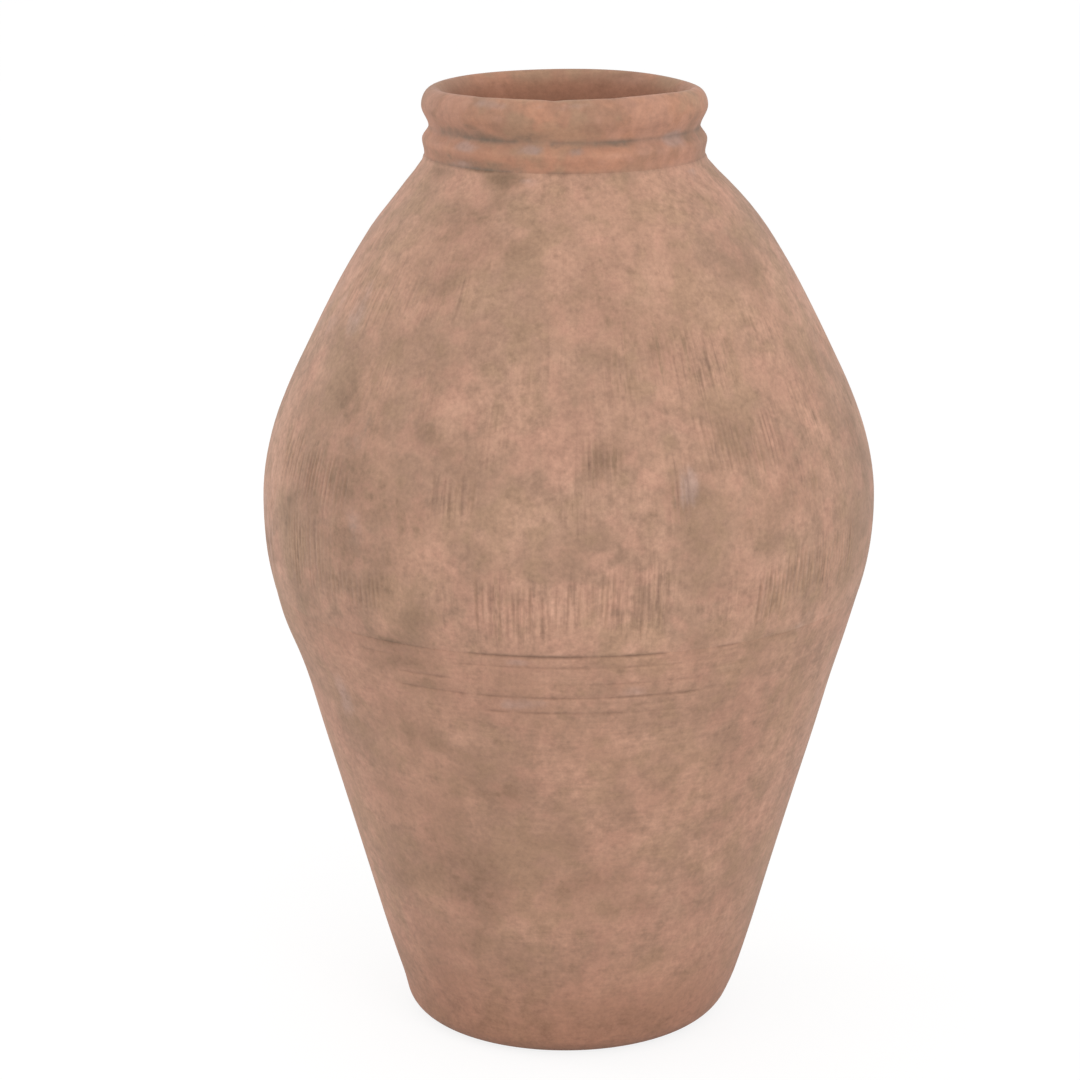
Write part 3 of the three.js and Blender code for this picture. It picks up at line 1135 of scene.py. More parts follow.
@dataclass(frozen=True)
class Clay:
    """Unglazed fired clay: its tones, how strong each one is, its patterns, and how it was smeared."""

    name: str
    slot: str
    streak: Streak
    tan: Colour = tone(178, 141, 119)
    salmon: Colour = tone(193, 150, 127)
    peach: Colour = tone(205, 162, 139)
    umber: Colour = tone(146, 116, 94)
    putty: Colour = tone(184, 149, 121)
    rose: Colour = tone(191, 144, 124)
    soot: Colour = tone(110, 91, 73)
    lilac: Colour = tone(180, 151, 140)
    raw: Colour = tone(168, 118, 94)
    dirt: Colour = tone(108, 86, 70)
    hue_share: float = 0.5
    peach_share: float = 0.42
    umber_share: float = 0.8
    soot_share: float = 0.45
    lilac_share: float = 0.6
    # Shares of painted shade in the comb's furrows and of painted highlight on the ridges between them.
    furrow_shade_share: float = 0.4
    ridge_highlight_share: float = 0.5
    dirt_share: float = 0.75
    raw_share: float = 0.85
    strokes: Pattern = Pattern(270, 2, 0.5)
    streaks: Pattern = Pattern(480, 2, 0.5)
    flecks: Pattern = Pattern(160, 4, 0.6)
    clouds: Pattern = Pattern(14, swirl=0.3)
    mottle: Pattern = Pattern(34, swirl=0.4)
    haze: Pattern = Pattern(24, swirl=0.6)
    tinge: Pattern = Pattern(64, 2, 0.5)
    drift: Pattern = Pattern(20, 3, 0.5)
    specks: Pattern = Pattern(380, 2, 0.6)
    grit: Pattern = Pattern(1000, 2, 0.6)
    dusting: Pattern = Pattern(36, 4, 0.6)
    stroke_width: float = 0.17
    streak_width: float = 0.09
    roughness: float = 0.9
    mottling: float = 1.0
    grain: float = 0.22 * MM
    smear: float = 0.25 * MM
    pits: float = 0.4 * MM
    mean_radius: float = 180 * MM

    def smeared(self, graph: Graph, place: bpy.types.NodeSocket, narrowing: float) -> bpy.types.NodeSocket:
        """Stretches the pattern along the way that the clay was smeared.

        Args:
            graph: the material's nodes.
            place: the point on the piece.
            narrowing: a streak's width as a share of its length.

        Returns:
            The stretched place: round the jar by direction alone, so that streaks run true up the wall.
        """
        around = self.mean_radius * (narrowing if self.streak is Streak.LEVEL else 1.0)
        along = narrowing if self.streak is Streak.UPRIGHT else 1.0
        flat = graph.node("ShaderNodeVectorMath", {"operation": "MULTIPLY"}, {0: place, 1: (1, 1, 0)})
        aim = graph.node("ShaderNodeVectorMath", {"operation": "NORMALIZE"}, {0: flat.outputs[0]})
        reach = graph.reading("ShaderNodeVectorMath", "Value", {"operation": "LENGTH"}, {0: flat.outputs[0]})
        height = graph.reading("ShaderNodeSeparateXYZ", "Z", inputs={0: place})
        run = graph.node("ShaderNodeCombineXYZ", inputs={"Z": (height + reach) * along})
        both = graph.node("ShaderNodeVectorMath", {"operation": "MULTIPLY_ADD"},
                          {0: aim.outputs[0], 1: (around, around, 0), 2: run.outputs[0]})
        return both.outputs[0]

    def build(self) -> bpy.types.Material:
        """Builds the material.

        Returns:
            The material.
        """
        material = bpy.data.materials.new(self.name)
        material.use_nodes = True
        graph = Graph(material.node_tree)
        place = graph.node("ShaderNodeTexCoord").outputs["Object"]

        brushed = graph.mark(Mark.BRUSHED)
        strokes = graph.swing(self.smeared(graph, place, self.stroke_width), self.strokes) * brushed
        streaks = graph.swing(self.smeared(graph, place, self.streak_width), self.streaks) * brushed
        flecks = graph.swing(place, self.flecks)
        tinge = graph.swing(place, self.tinge)
        mottle = graph.cloud(place, self.mottle)
        haze = graph.cloud(place, self.haze)
        grit = graph.cloud(place, self.grit)
        fine = flecks * 0.5 + strokes + streaks * 0.8

        # Each measure adds up marks and patterns, each with a given weight.
        smoke = graph.mark(Mark.SMOKE) * (1 + (mottle - 0.5) * 2.4 + flecks * 1.6)
        # Flush and bloom carry stains, and also painted light along the jar's left and right edges.
        flush = graph.mark(Mark.FLUSH)
        comb = graph.mark(Mark.COMB) * (0.85 + smoke * 0.4 + flecks * 1.8)
        warmth = tinge + graph.swing(place, self.drift) * 1.2
        salmon = graph.cloud(place, self.clouds) + (mottle - 0.5) * 0.5 + fine * 0.3 + flush * 0.05
        light = mottle + flush * 0.15 + fine * 0.5 - smoke * 0.06
        smudge = (haze * 0.8 + smoke * 0.26 + fine - flush * 0.1).fade(0.36, 0.82)
        hatch = strokes * 2.4 + streaks * 3.2 + flecks * 2.0 + (haze - 0.5) * 1.2
        bloom = graph.mark(Mark.BLOOM) * 0.6 + graph.swing(place, self.dusting) * 1.2 + fine * 0.7
        grime = graph.mark(Mark.GRIME) * (0.9 + (mottle - 0.5) * 1.6)

        colour = self.tan
        for over, share in (
            (self.salmon, salmon.fade(0.40, 0.62)),
            (self.putty, (warmth * -1.0).fade(0.02, 0.22) * self.hue_share),
            (self.rose, warmth.fade(0.02, 0.22) * self.hue_share),
            # Peach rises with flush, so it also paints the light along the edges.
            (self.peach, light.fade(0.50, 0.80) * (self.peach_share * self.mottling)),
            (self.umber, smudge * (self.umber_share * self.mottling)),
            (self.soot, (smoke * 0.42 + hatch).fade(0.35, 1.2) * self.soot_share),
            # Lilac follows bloom, so it also paints the light along the edges.
            (self.lilac, bloom.fade(0.2, 0.75) * self.lilac_share),
            # Painted shade in the comb's furrows, and painted highlight on the ridges between them.
            (self.umber, comb.fade(0.05, 1.0) * self.furrow_shade_share),
            (self.peach, (comb * -1.0).fade(0.05, 1.0) * self.ridge_highlight_share),
            # The dirt tone also darkens the foot towards the bottom.
            (self.dirt, grime.fade(0.08, 1.0) * self.dirt_share),
            (self.raw, graph.mark(Mark.RAW) * self.raw_share),
        ):
            colour = graph.blend(share, colour, over)

        dapple = graph.swing(place, self.specks) * 0.45 + flecks * 0.68 + strokes * 0.9 + streaks
        dapple = dapple + tinge * 0.45
        shade = 1 + (grit - 0.5) * 0.12 + dapple * self.mottling
        tint = graph.node("ShaderNodeCombineColor", inputs={"Red": shade, "Green": shade, "Blue": shade})
        colour = graph.blend(1.0, colour, tint.outputs["Color"], "MULTIPLY")

        relief = (streaks + strokes) * self.smear + grit * self.grain + flecks * self.pits
        bump = graph.node("ShaderNodeBump", inputs={"Strength": 0.6, "Distance": 1.0, "Height": relief})
        skin = graph.node("ShaderNodeBsdfPrincipled", inputs={
            "Base Color": colour,
            "Roughness": self.roughness - smudge * 0.06 + (grit - 0.5) * 0.1,
            "Specular IOR Level": 0.25,
            "Sheen Weight": 0.1,
            "Sheen Roughness": 0.5,
            "Normal": bump.outputs["Normal"],
        })
        graph.node("ShaderNodeOutputMaterial", inputs={"Surface": skin.outputs["BSDF"]})
        return material


# Turned pieces

@dataclass
class TurnedPiece(ABC):
    """One section of the jar, turned from its outline round the Z axis.

    Two noises make its patches ragged: each is given by its reach, and by how often it turns in a metre.
    """

    sizes: Sizes
    line: BodyLine
    form: HandForm
    stains: Stains
    clay: Clay
    node: str = ""
    columns: int = 512
    closed: bool = True
    smeared: float = 0.18
    least_share: float = 0.004
    strays: tuple[tuple[float, float], ...] = ((9 * MM, 24), (6 * MM, 70))
    wear: FootWear = field(default_factory=FootWear)

    @abstractmethod
    def outline(self) -> Outline:
        """Draws the section."""

    def depth(self, height: np.ndarray, radius: np.ndarray) -> np.ndarray:
        """Gives how far behind the outer face each point lies.

        Args:
            height: of each point.
            radius: of each point.

        Returns:
            The depth of each.
        """
        return self.line.outer(height) - radius

    def grime(self, skin: Skin) -> np.ndarray:
        """Gives how much dirt has settled at each point."""
        return skin.plain

    def bare(self, skin: Skin) -> np.ndarray:
        """Gives how bare and red the clay is: 1 on the inner face and 0 on the plain outer one."""
        return skin.inside

    def brushed(self, skin: Skin) -> np.ndarray:
        """Gives how much of the smearing hand or tool shows at each point."""
        return np.full_like(skin.height, self.smeared)

    def cuts(self, skin: Skin) -> dict[str, Cut]:
        """Gives the marks cut into the surface."""
        return {}

    def dents(self, skin: Skin) -> dict[str, Cut]:
        """Gives the marks pressed down from above."""
        return {}

    def turn(self) -> bpy.types.Object:
        """Draws the outline point by point from a plane merged to one corner, and turns it round.

        Returns:
            The turned mesh, closed and facing out.
        """
        points = self.outline().tidy(self.closed)
        start = Vector((points[0][0], 0, points[0][1]))
        bpy.ops.object.select_all(action="DESELECT")
        bpy.ops.mesh.primitive_plane_add(size=MM, location=start)
        piece = bpy.context.object
        piece.name = self.node + "_skin"
        bpy.ops.object.mode_set(mode="EDIT")
        bpy.ops.mesh.select_all(action="SELECT")
        bpy.ops.mesh.merge(type="CENTER")
        for (radius, height), (next_radius, next_height) in zip(points, points[1:]):
            step = (next_radius - radius, 0, next_height - height)
            bpy.ops.mesh.extrude_region_move(TRANSFORM_OT_translate={"value": step})
        bpy.ops.object.mode_set(mode="OBJECT")
        bpy.ops.object.transform_apply(location=True, rotation=True, scale=True)
        bpy.ops.object.modifier_add(type="SCREW")
        screw = piece.modifiers[-1]
        screw.axis = "Z"
        screw.angle = 2 * math.pi
        screw.steps = self.columns
        screw.render_steps = self.columns
        screw.use_merge_vertices = True
        screw.merge_threshold = SAME_POINT
        bpy.ops.object.modifier_apply(modifier=screw.name)
        bpy.ops.object.mode_set(mode="EDIT")
        bpy.ops.mesh.select_all(action="SELECT")
        bpy.ops.mesh.remove_doubles(threshold=SAME_POINT)
        bpy.ops.mesh.normals_make_consistent(inside=False)
        bpy.ops.object.mode_set(mode="OBJECT")
        return piece

    def skin_of(self, piece: bpy.types.Object) -> Skin:
        """Reads where the points of a mesh lie.

        Args:
            piece: the turned mesh.

        Returns:
            Its skin.
        """
        flat = np.empty(3 * len(piece.data.vertices), np.float32)
        piece.data.vertices.foreach_get("co", flat)
        x, y, z = flat.reshape(-1, 3).astype(float).T
        radius = np.hypot(x, y)
        (wide, often), (narrow, oftener) = self.strays
        stray = [
            wide * noise.noise_vector(often * point) + narrow * noise.noise_vector(oftener * point)
            for point in map(Vector, zip(x, y, z))
        ]
        return Skin(np.degrees(np.arctan2(x, -y)), z, radius, self.depth(z, radius), np.array(stray))

    def push(self, piece: bpy.types.Object, name: str, length: float, share: np.ndarray,
             direction: str) -> None:
        """Moves a piece's points with a Displace modifier and applies it.

        Args:
            piece: the piece.
            name: of the push.
            length: how far a point with a full share moves.
            share: each point's share, from -1 to 1.
            direction: X, Y or Z.
        """
        for sign in (1, -1):
            moved = np.nonzero(sign * share > self.least_share)[0]
            if not len(moved):
                continue
            group = piece.vertex_groups.new(name=name)
            for index in moved:
                group.add([int(index)], float(sign * share[index]), "REPLACE")
            bpy.ops.object.modifier_add(type="DISPLACE")
            modifier = piece.modifiers[-1]
            modifier.name = name
            modifier.direction = direction
            modifier.mid_level = 0
            modifier.strength = sign * length
            modifier.vertex_group = name
            bpy.ops.object.modifier_apply(modifier=name)
            piece.vertex_groups.remove(piece.vertex_groups[name])

    def press(self, piece: bpy.types.Object, name: str, cut: Cut, skin: Skin) -> None:
        """Presses a piece's points level towards the axis, so that a joint's two edges stay together.

        Args:
            piece: the piece.
            name: of the cut.
            cut: how deep it goes, and each point's share.
            skin: the piece's points.
        """
        depth, share = cut
        around = np.radians(skin.azimuth)
        self.push(piece, name + "_across", -depth, share * np.sin(around), "X")
        self.push(piece, name + "_along", depth, share * np.cos(around), "Y")

    def carry(self, piece: bpy.types.Object, measures: dict[Mark, np.ndarray]) -> None:
        """Writes measures on a piece's points, for its clay to read.

        Args:
            piece: the piece.
            measures: for each a value at each point.
        """
        for mark, values in measures.items():
            layer = piece.data.attributes.new(mark.value, "FLOAT", "POINT")
            layer.data.foreach_set("value", values.astype(np.float32))

    def build(self, cage: bpy.types.Object, material: bpy.types.Material) -> bpy.types.Object:
        """Turns, marks, bends and dresses the piece.

        Args:
            cage: the lattice that bends every piece alike.
            material: its clay.

        Returns:
            The finished piece, standing for its solid.
        """
        piece = self.turn()
        skin = self.skin_of(piece)
        cuts = self.cuts(skin)
        self.carry(piece, self.stains.measures(skin))
        self.carry(piece, {
            Mark.GRIME: self.grime(skin),
            Mark.RAW: self.bare(skin),
            Mark.BRUSHED: self.brushed(skin),
            Mark.COMB: cuts["comb"][1] if "comb" in cuts else skin.plain,
        })
        for name, cut in cuts.items():
            self.press(piece, name, cut, skin)
        for name, (depth, share) in self.dents(skin).items():
            self.push(piece, name, -depth, share, "Z")
        for name, direction, length, share in self.form.pushes(skin, self.sizes):
            self.push(piece, name, length, share, direction)
        bpy.ops.object.modifier_add(type="LATTICE")
        piece.modifiers[-1].object = cage
        bpy.ops.object.modifier_apply(modifier=piece.modifiers[-1].name)
        bpy.ops.object.shade_smooth_by_angle(angle=CREASE_ANGLE)
        piece.data.materials.clear()
        piece.data.materials.append(material)
        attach(piece, BODY)
        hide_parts(self.node)
        return piece

    def tongue(self, outline: Outline, height: float, outside: float, inside: float,
               top_inside: float) -> None:
        """Draws the stepped upper end of a section, from outside to inside.

        Args:
            outline: what it is drawn on.
            height: of the shoulder.
            outside: outer radius there.
            inside: inner radius there.
            top_inside: inner radius at the tongue's top.
        """
        reach = inside + (outside - inside) * self.sizes.tongue_share
        top = height + self.sizes.tongue_height
        outline.to(reach, height).to(reach, top).to(top_inside, top)

    def rebate(self, outline: Outline, height: float, outside: float, inside: float,
               top_inside: float) -> None:
        """Draws the stepped lower end of a section, from inside to outside.

        Args:
            outline: what it is drawn on.
            height: of the lower edge.
            outside: outer radius there.
            inside: inner radius there.
            top_inside: inner radius at the rebate's top.
        """
        reach = inside + (outside - inside) * self.sizes.tongue_share + self.sizes.joint_gap
        top = height + self.sizes.tongue_height
        outline.to(top_inside, top).to(reach, top).to(reach, height)


@dataclass
class BaseSlab(TurnedPiece):
    """The slab that the jar stands on, with wheel rings on the floor inside."""

    node: str = "base_disc"
    closed: bool = False
    ring_pitch: float = 13 * MM
    ring_depth: float = 0.7 * MM
    coil_leg: float = 18 * MM
    under_pitch: float = 12 * MM
    edge_pitch: float = 1 * MM
    floor_pitch: float = 2 * MM
    bare_blend: float = 0.5 * MM
    edge_darkening: float = 0.35
    edge_darkening_heights: tuple[float, float] = (0.5 * MM, 12 * MM)

    def outline(self) -> Outline:
        """Draws the underside, the rounded edge, and the ringed floor back to the middle.

        Returns:
            The outline.
        """
        sizes = self.sizes
        register = float(self.line.behind_coil(sizes.slab))
        foot_top = self.line.stations[0].height
        outline = Outline().to(0, 0)
        for radius in levels(0, sizes.foot_radius, self.under_pitch)[1:]:
            outline.to(radius, 0)
        corner = (sizes.foot_corner, sizes.foot_corner)
        corner_end = -math.degrees(math.asin(1 - foot_top / sizes.foot_corner))
        outline.arc((sizes.foot_radius, sizes.foot_corner), corner, (-90, corner_end), 14)
        outline.follow(self.line.outer, levels(foot_top, sizes.slab, self.edge_pitch))
        outline.to(register, sizes.slab).to(register, sizes.floor)
        coil_toe = float(self.line.behind_coil(sizes.floor)) - self.coil_leg
        for radius in levels(coil_toe, 0, self.floor_pitch):
            ring = 0.5 - 0.5 * math.cos(2 * math.pi * (coil_toe - radius) / self.ring_pitch)
            outline.to(radius, sizes.floor - self.ring_depth * ring)
        return outline

    def bare(self, skin: Skin) -> np.ndarray:
        """Gives how bare and red the clay is: wholly on the floor inside, and partly round the foot."""
        floor = fade(self.sizes.slab - self.bare_blend, self.sizes.slab + self.bare_blend, skin.height)
        return np.maximum(floor, self.wear.bare(skin))

    def grime(self, skin: Skin) -> np.ndarray:
        """Gives the darkening towards the bottom, strongest round the edge that the jar stands on."""
        ground = self.edge_darkening * (1 - fade(*self.edge_darkening_heights, skin.height))
        return (ground + self.wear.darkening(skin)) * skin.outside


@dataclass
class LowerWall(TurnedPiece):
    """The tapering lower section, scored under the seam and ridged by fingers inside."""

    scoring: Scoring = field(default_factory=Scoring)
    node: str = "lower_wall"
    columns: int = 640
    edge: float = 0.12 * MM
    step: float = 0.05 * MM
    step_below_seam: tuple[float, float] = (12 * MM, 2 * MM)
    waist: float = 0.7 * MM
    waist_below_seam: float = 58 * MM
    waist_reach: float = 24 * MM
    ridge_pitch: float = 27 * MM
    ridge: float = 0.9 * MM
    ridge_margin: float = 8 * MM
    ridge_fade: float = 20 * MM
    scored_band: float = 42 * MM
    plain_pitch: float = 5.2 * MM
    band_pitch: float = 3 * MM
    line_reach: float = 2.4 * MM
    line_clear: float = 2.6 * MM
    line_pitch: float = 0.4 * MM
    seam_pitch: float = 0.45 * MM
    inner_pitch: float = 9 * MM
    line_dirt: float = 0.62

    def outer(self, height: float) -> float:
        """Gives the outer radius, drawn in a little under the seam and under the scored lines.

        Args:
            height: one height.

        Returns:
            The radius there.
        """
        seam = self.sizes.seam
        step_start, step_end = self.step_below_seam
        drawn_in = self.step * fade(seam - step_start, seam - step_end, np.asarray(height))
        drawn_in += self.waist * hump(seam - self.waist_below_seam - height, self.waist_reach)
        return float(self.line.outer(height) - drawn_in)

    def ridged(self, height: float) -> float:
        """Gives the inner radius, with the ridges that fingers leave between the two coils.

        Args:
            height: one height.

        Returns:
            The radius there.
        """
        low = self.sizes.floor_coil_top + self.ridge_margin
        high = self.sizes.seam_coil_foot - self.ridge_margin
        share = float(fade(low, low + self.ridge_fade, np.asarray(height)))
        share *= float(1 - fade(high - self.ridge_fade, high, np.asarray(height)))
        wave = 0.5 - 0.5 * math.cos(2 * math.pi * (height - low) / self.ridge_pitch)
        return float(self.line.inner(height)) - self.ridge * share * wave

    def row_heights(self) -> list[float]:
        """Lists the heights of the outer rows, close together at the scored lines and the seam.

        Returns:
            The heights, from the lowest up.
        """
        seam = self.sizes.seam
        last = seam - self.edge
        heights = set(levels(self.sizes.slab, seam - self.scored_band, self.plain_pitch))
        heights.update(levels(seam - self.scored_band, last, self.band_pitch))
        for line in self.scoring.lines:
            middle = seam - line.below_seam * MM
            heights = {z for z in heights if abs(z - middle) > self.line_clear}
            heights.update(levels(middle - self.line_reach, middle + self.line_reach, self.line_pitch))
        heights.update(levels(seam - self.line_reach, last, self.seam_pitch))
        return sorted(z for z in heights if z <= last)

    def outline(self) -> Outline:
        """Draws the outside up to the seam, the tongue, and the ridged inside down to the slab.

        Returns:
            The outline.
        """
        sizes = self.sizes
        seam = sizes.seam
        outline = Outline().follow(self.outer, self.row_heights())
        edge_radius = self.outer(seam - self.edge)
        outline.arc((edge_radius - self.edge, seam - self.edge), (self.edge, self.edge), (0, 90), 4)
        tongue_top = seam + sizes.tongue_height
        self.tongue(outline, seam, float(self.line.outer(seam)), float(self.line.inner(seam)),
                    float(self.line.inner(tongue_top)))
        return outline.follow(self.ridged, levels(tongue_top, sizes.slab, self.inner_pitch)[1:])

    def cuts(self, skin: Skin) -> dict[str, Cut]:
        """Gives the scored lines and the seam."""
        scored = self.scoring.furrows(skin, self.sizes.seam)
        return {"scoring": (self.scoring.depth, scored), "seam": SEAM.cut(skin, self.sizes.seam)}

    def grime(self, skin: Skin) -> np.ndarray:
        """Gives the dirt in the scored lines and under the seam, and the darkening towards the foot.

        Args:
            skin: the piece's points.

        Returns:
            The dirt and the darkening at each point.
        """
        lines = self.line_dirt * self.scoring.furrows(skin, self.sizes.seam)
        seam = SEAM.dirt(skin, self.sizes.seam)
        foot = self.wear.darkening(skin) * skin.outside
        return np.maximum(np.maximum(lines, seam), foot)

    def bare(self, skin: Skin) -> np.ndarray:
        """Gives how bare and red the clay is: wholly inside, and partly outside towards the foot."""
        return np.maximum(super().bare(skin), self.wear.bare(skin))


@dataclass
class UpperWall(TurnedPiece):
    """The belly and shoulder, combed outside."""

    comb: Comb = field(default_factory=Comb)
    node: str = "upper_wall"
    columns: int = 1400
    edge: float = 0.12 * MM
    drawn_in: float = 0.5 * MM
    drawn_in_below_crease: tuple[float, float] = (80 * MM, 50 * MM)
    undercut: float = 0.9 * MM
    undercut_drop: float = 7 * MM
    meeting: float = 4 * MM
    seam_band: float = 2.5 * MM
    seam_pitch: float = 0.5 * MM
    belly_band: float = 160 * MM
    belly_pitch: float = 6.8 * MM
    shoulder_pitch: float = 7.4 * MM
    crease_pitch: float = 1.0 * MM
    inner_pitch: float = 34 * MM
    coil_pitch: float = 12 * MM
    crease_haze: float = 0.35
    crease_haze_reach: float = 1.6 * MM

    def outer(self, height: float) -> float:
        """Gives the outer radius, drawn in over the shoulder and below the neck, and true at the crease.

        Args:
            height: one height.

        Returns:
            The radius there.
        """
        crease = self.sizes.crease
        start, end = self.drawn_in_below_crease
        drawn_in = self.drawn_in * fade(crease - start, crease - end, np.asarray(height))
        drawn_in += self.undercut * hump(height - crease + self.undercut_drop, self.undercut_drop)
        apart = 1 - fade(crease - self.meeting, crease, np.asarray(height))
        return float(self.line.outer(height) - drawn_in * apart)

    def outline(self) -> Outline:
        """Draws the outside from the seam to the crease, the tongue, and the inside down again.

        Returns:
            The outline.
        """
        sizes = self.sizes
        seam, crease = sizes.seam, sizes.crease
        outer, inner = self.outer, self.line.inner
        tongue_top = seam + sizes.tongue_height
        turn_in = crease - sizes.wall / 2
        lip = outer(seam + self.edge)
        outline = Outline()
        outline.arc((lip - self.edge, seam + self.edge), (self.edge, self.edge), (-90, 0), 4)
        for start, end, pitch in (
            (seam + self.edge, seam + self.seam_band, self.seam_pitch),
            (seam + self.seam_band, seam + self.belly_band, self.belly_pitch),
            (seam + self.belly_band, crease - self.meeting, self.shoulder_pitch),
            (crease - self.meeting, crease, self.crease_pitch),
        ):
            outline.follow(outer, levels(start, end, pitch)[1:])
        self.tongue(outline, crease, sizes.crease_radius, sizes.throat_radius, sizes.throat_radius)
        outline.to(sizes.throat_radius, crease)
        outline.follow(lambda z: max(float(inner(z)), sizes.throat_radius),
                       levels(turn_in, sizes.seam_coil_top, self.inner_pitch))
        outline.follow(inner, levels(sizes.seam_coil_top, tongue_top, self.coil_pitch)[1:-1])
        self.rebate(outline, seam, outer(seam), float(inner(seam)), float(inner(tongue_top)))
        return outline

    def cuts(self, skin: Skin) -> dict[str, Cut]:
        """Gives the comb's furrows, the seam and the crease.

        Args:
            skin: the piece's points.

        Returns:
            For each its depth, and its share at each point.
        """
        return {
            "comb": (self.comb.depth, self.comb.furrows(skin)),
            "seam": SEAM.cut(skin, self.sizes.seam),
            "crease": CREASE.cut(skin, self.sizes.crease),
        }

    def brushed(self, skin: Skin) -> np.ndarray:
        """Gives how much of the comb's fine hatching shows at each point."""
        return self.comb.brushed(skin)

    def grime(self, skin: Skin) -> np.ndarray:
        """Gives the dirt along the seam and in the crease under the bead."""
        crease = CREASE.dirt(skin, self.sizes.crease, self.crease_haze, self.crease_haze_reach)
        return np.maximum(SEAM.dirt(skin, self.sizes.seam), crease)


@dataclass
class NeckBead(TurnedPiece):
    """The bead between the crease and the soft groove."""

    node: str = "neck_ring"
    columns: int = 640
    skin_in_front: float = 2 * MM
    haze: float = 0.4
    crease_haze_reach: float = 2.2 * MM
    groove_haze_reach: float = 3.2 * MM

    def depth(self, height: np.ndarray, radius: np.ndarray) -> np.ndarray:
        """Gives how far behind the outer face each point lies."""
        return self.sizes.groove_radius + self.skin_in_front - radius

    def outline(self) -> Outline:
        """Draws the bead, the tongue under the lip, and the rebate over the upper wall's tongue.

        Returns:
            The outline.
        """
        sizes = self.sizes
        foot = Station(sizes.crease, sizes.crease_radius, sizes.bead_lean)
        crest = Station(sizes.crease + sizes.bead_height, sizes.bead_radius, 0)
        groove = Station(sizes.groove, sizes.groove_radius, 0)
        outline = Outline().sweep(foot, crest, 16).sweep(crest, groove, 14)
        self.tongue(outline, sizes.groove, sizes.groove_radius, sizes.throat_radius, sizes.throat_radius)
        self.rebate(outline, sizes.crease, sizes.crease_radius, sizes.throat_radius, sizes.throat_radius)
        return outline

    def cuts(self, skin: Skin) -> dict[str, Cut]:
        """Gives the crease below and the groove above."""
        return {"crease": CREASE.cut(skin, self.sizes.crease), "groove": GROOVE.cut(skin, self.sizes.groove)}

    def grime(self, skin: Skin) -> np.ndarray:
        """Gives the dirt in the crease below and the groove above."""
        crease = CREASE.dirt(skin, self.sizes.crease, self.haze, self.crease_haze_reach)
        return np.maximum(crease, GROOVE.dirt(skin, self.sizes.groove, self.haze, self.groove_haze_reach))


@dataclass
class RimRoll(TurnedPiece):
    """The rolled lip round the mouth."""

    node: str = "rim_roll"
    columns: int = 720
    inner_radius: float = 71.2 * MM
    funnel: float = 22 * MM
    skin_behind: float = 4 * MM
    haze: float = 0.4
    haze_reach: float = 3.2 * MM
    nick_depth: float = 1.0 * MM
    nicks: tuple[Blot, ...] = (
        Blot(-4, 599, 4.5, 3, 0.8), Blot(-1, 598, 2, 3, 0.4), Blot(21, 599, 6, 3, 0.25),
        Blot(-38, 599, 6, 3, 0.3), Blot(58, 598, 4, 3, 0.3), Blot(112, 590, 4, 3, 0.7),
        Blot(152, 589, 2.4, 3, 0.9), Blot(171, 592, 3, 2.4, 0.6), Blot(214, 591, 3.4, 3, 0.7),
        Blot(255, 588, 2.6, 4, 0.8),
    )

    def depth(self, height: np.ndarray, radius: np.ndarray) -> np.ndarray:
        """Gives how far behind the outer face each point lies."""
        return self.sizes.groove_radius - self.skin_behind - radius

    def outline(self) -> Outline:
        """Draws the lip from the groove over its crown and down its funnel to the throat.

        Returns:
            The outline.
        """
        sizes = self.sizes
        widest = sizes.groove + sizes.lip_height
        crown = sizes.top - widest
        crest = (sizes.lip_radius + sizes.throat_radius) / 2
        outline = Outline().sweep(
            Station(sizes.groove, sizes.groove_radius, 0), Station(widest, sizes.lip_radius, 0), 20)
        outline.arc((crest, widest), (sizes.lip_radius - crest, crown), (0, 90), 14)
        throat_top = sizes.top - self.funnel
        outline.arc((crest, throat_top), (crest - self.inner_radius, self.funnel), (90, 180), 20)
        self.rebate(outline, sizes.groove, sizes.groove_radius, sizes.throat_radius, sizes.throat_radius)
        return outline

    def cuts(self, skin: Skin) -> dict[str, Cut]:
        """Gives the groove under the lip."""
        return {"groove": GROOVE.cut(skin, self.sizes.groove)}

    def dents(self, skin: Skin) -> dict[str, Cut]:
        """Gives the nicks in the lip."""
        return {"nicks": (self.nick_depth, strongest(self.nicks, skin))}

    def grime(self, skin: Skin) -> np.ndarray:
        """Gives the dirt in the groove under the lip."""
        return GROOVE.dirt(skin, self.sizes.groove, self.haze, self.haze_reach)


@dataclass
class Coil(TurnedPiece):
    """A coil pressed on inside, of bare clay all over."""

    def bare(self, skin: Skin) -> np.ndarray:
        """Gives 1 all over."""
        return np.ones_like(skin.height)


@dataclass
class FloorCoil(Coil):
    """The coil pressed by thumb into the corner of floor and wall."""

    node: str = "floor_coil"
    columns: int = 400
    throat: float = 3 * MM
    edge: float = 1 * MM
    leg: float = 16 * MM
    back_pitch: float = 4 * MM
    face_steps: int = 12

    def outline(self) -> Outline:
        """Draws the back up the wall, the hollow face down to the toe, and the foot on the floor.

        Returns:
            The outline.
        """
        floor, top = self.sizes.floor, self.sizes.floor_coil_top
        back = self.line.behind_coil
        toe = float(back(floor)) - self.leg
        outline = Outline().follow(back, levels(floor, top, self.back_pitch))
        start = np.array([float(back(top)) - self.edge, top])
        pull = np.array([float(back(floor)) - self.throat, floor + self.throat])
        end = np.array([toe, floor + self.edge])
        for t in np.linspace(0, 1, self.face_steps + 1):
            outline.to(*((1 - t) ** 2 * start + 2 * t * (1 - t) * pull + t**2 * end))
        return outline.to(toe, floor)


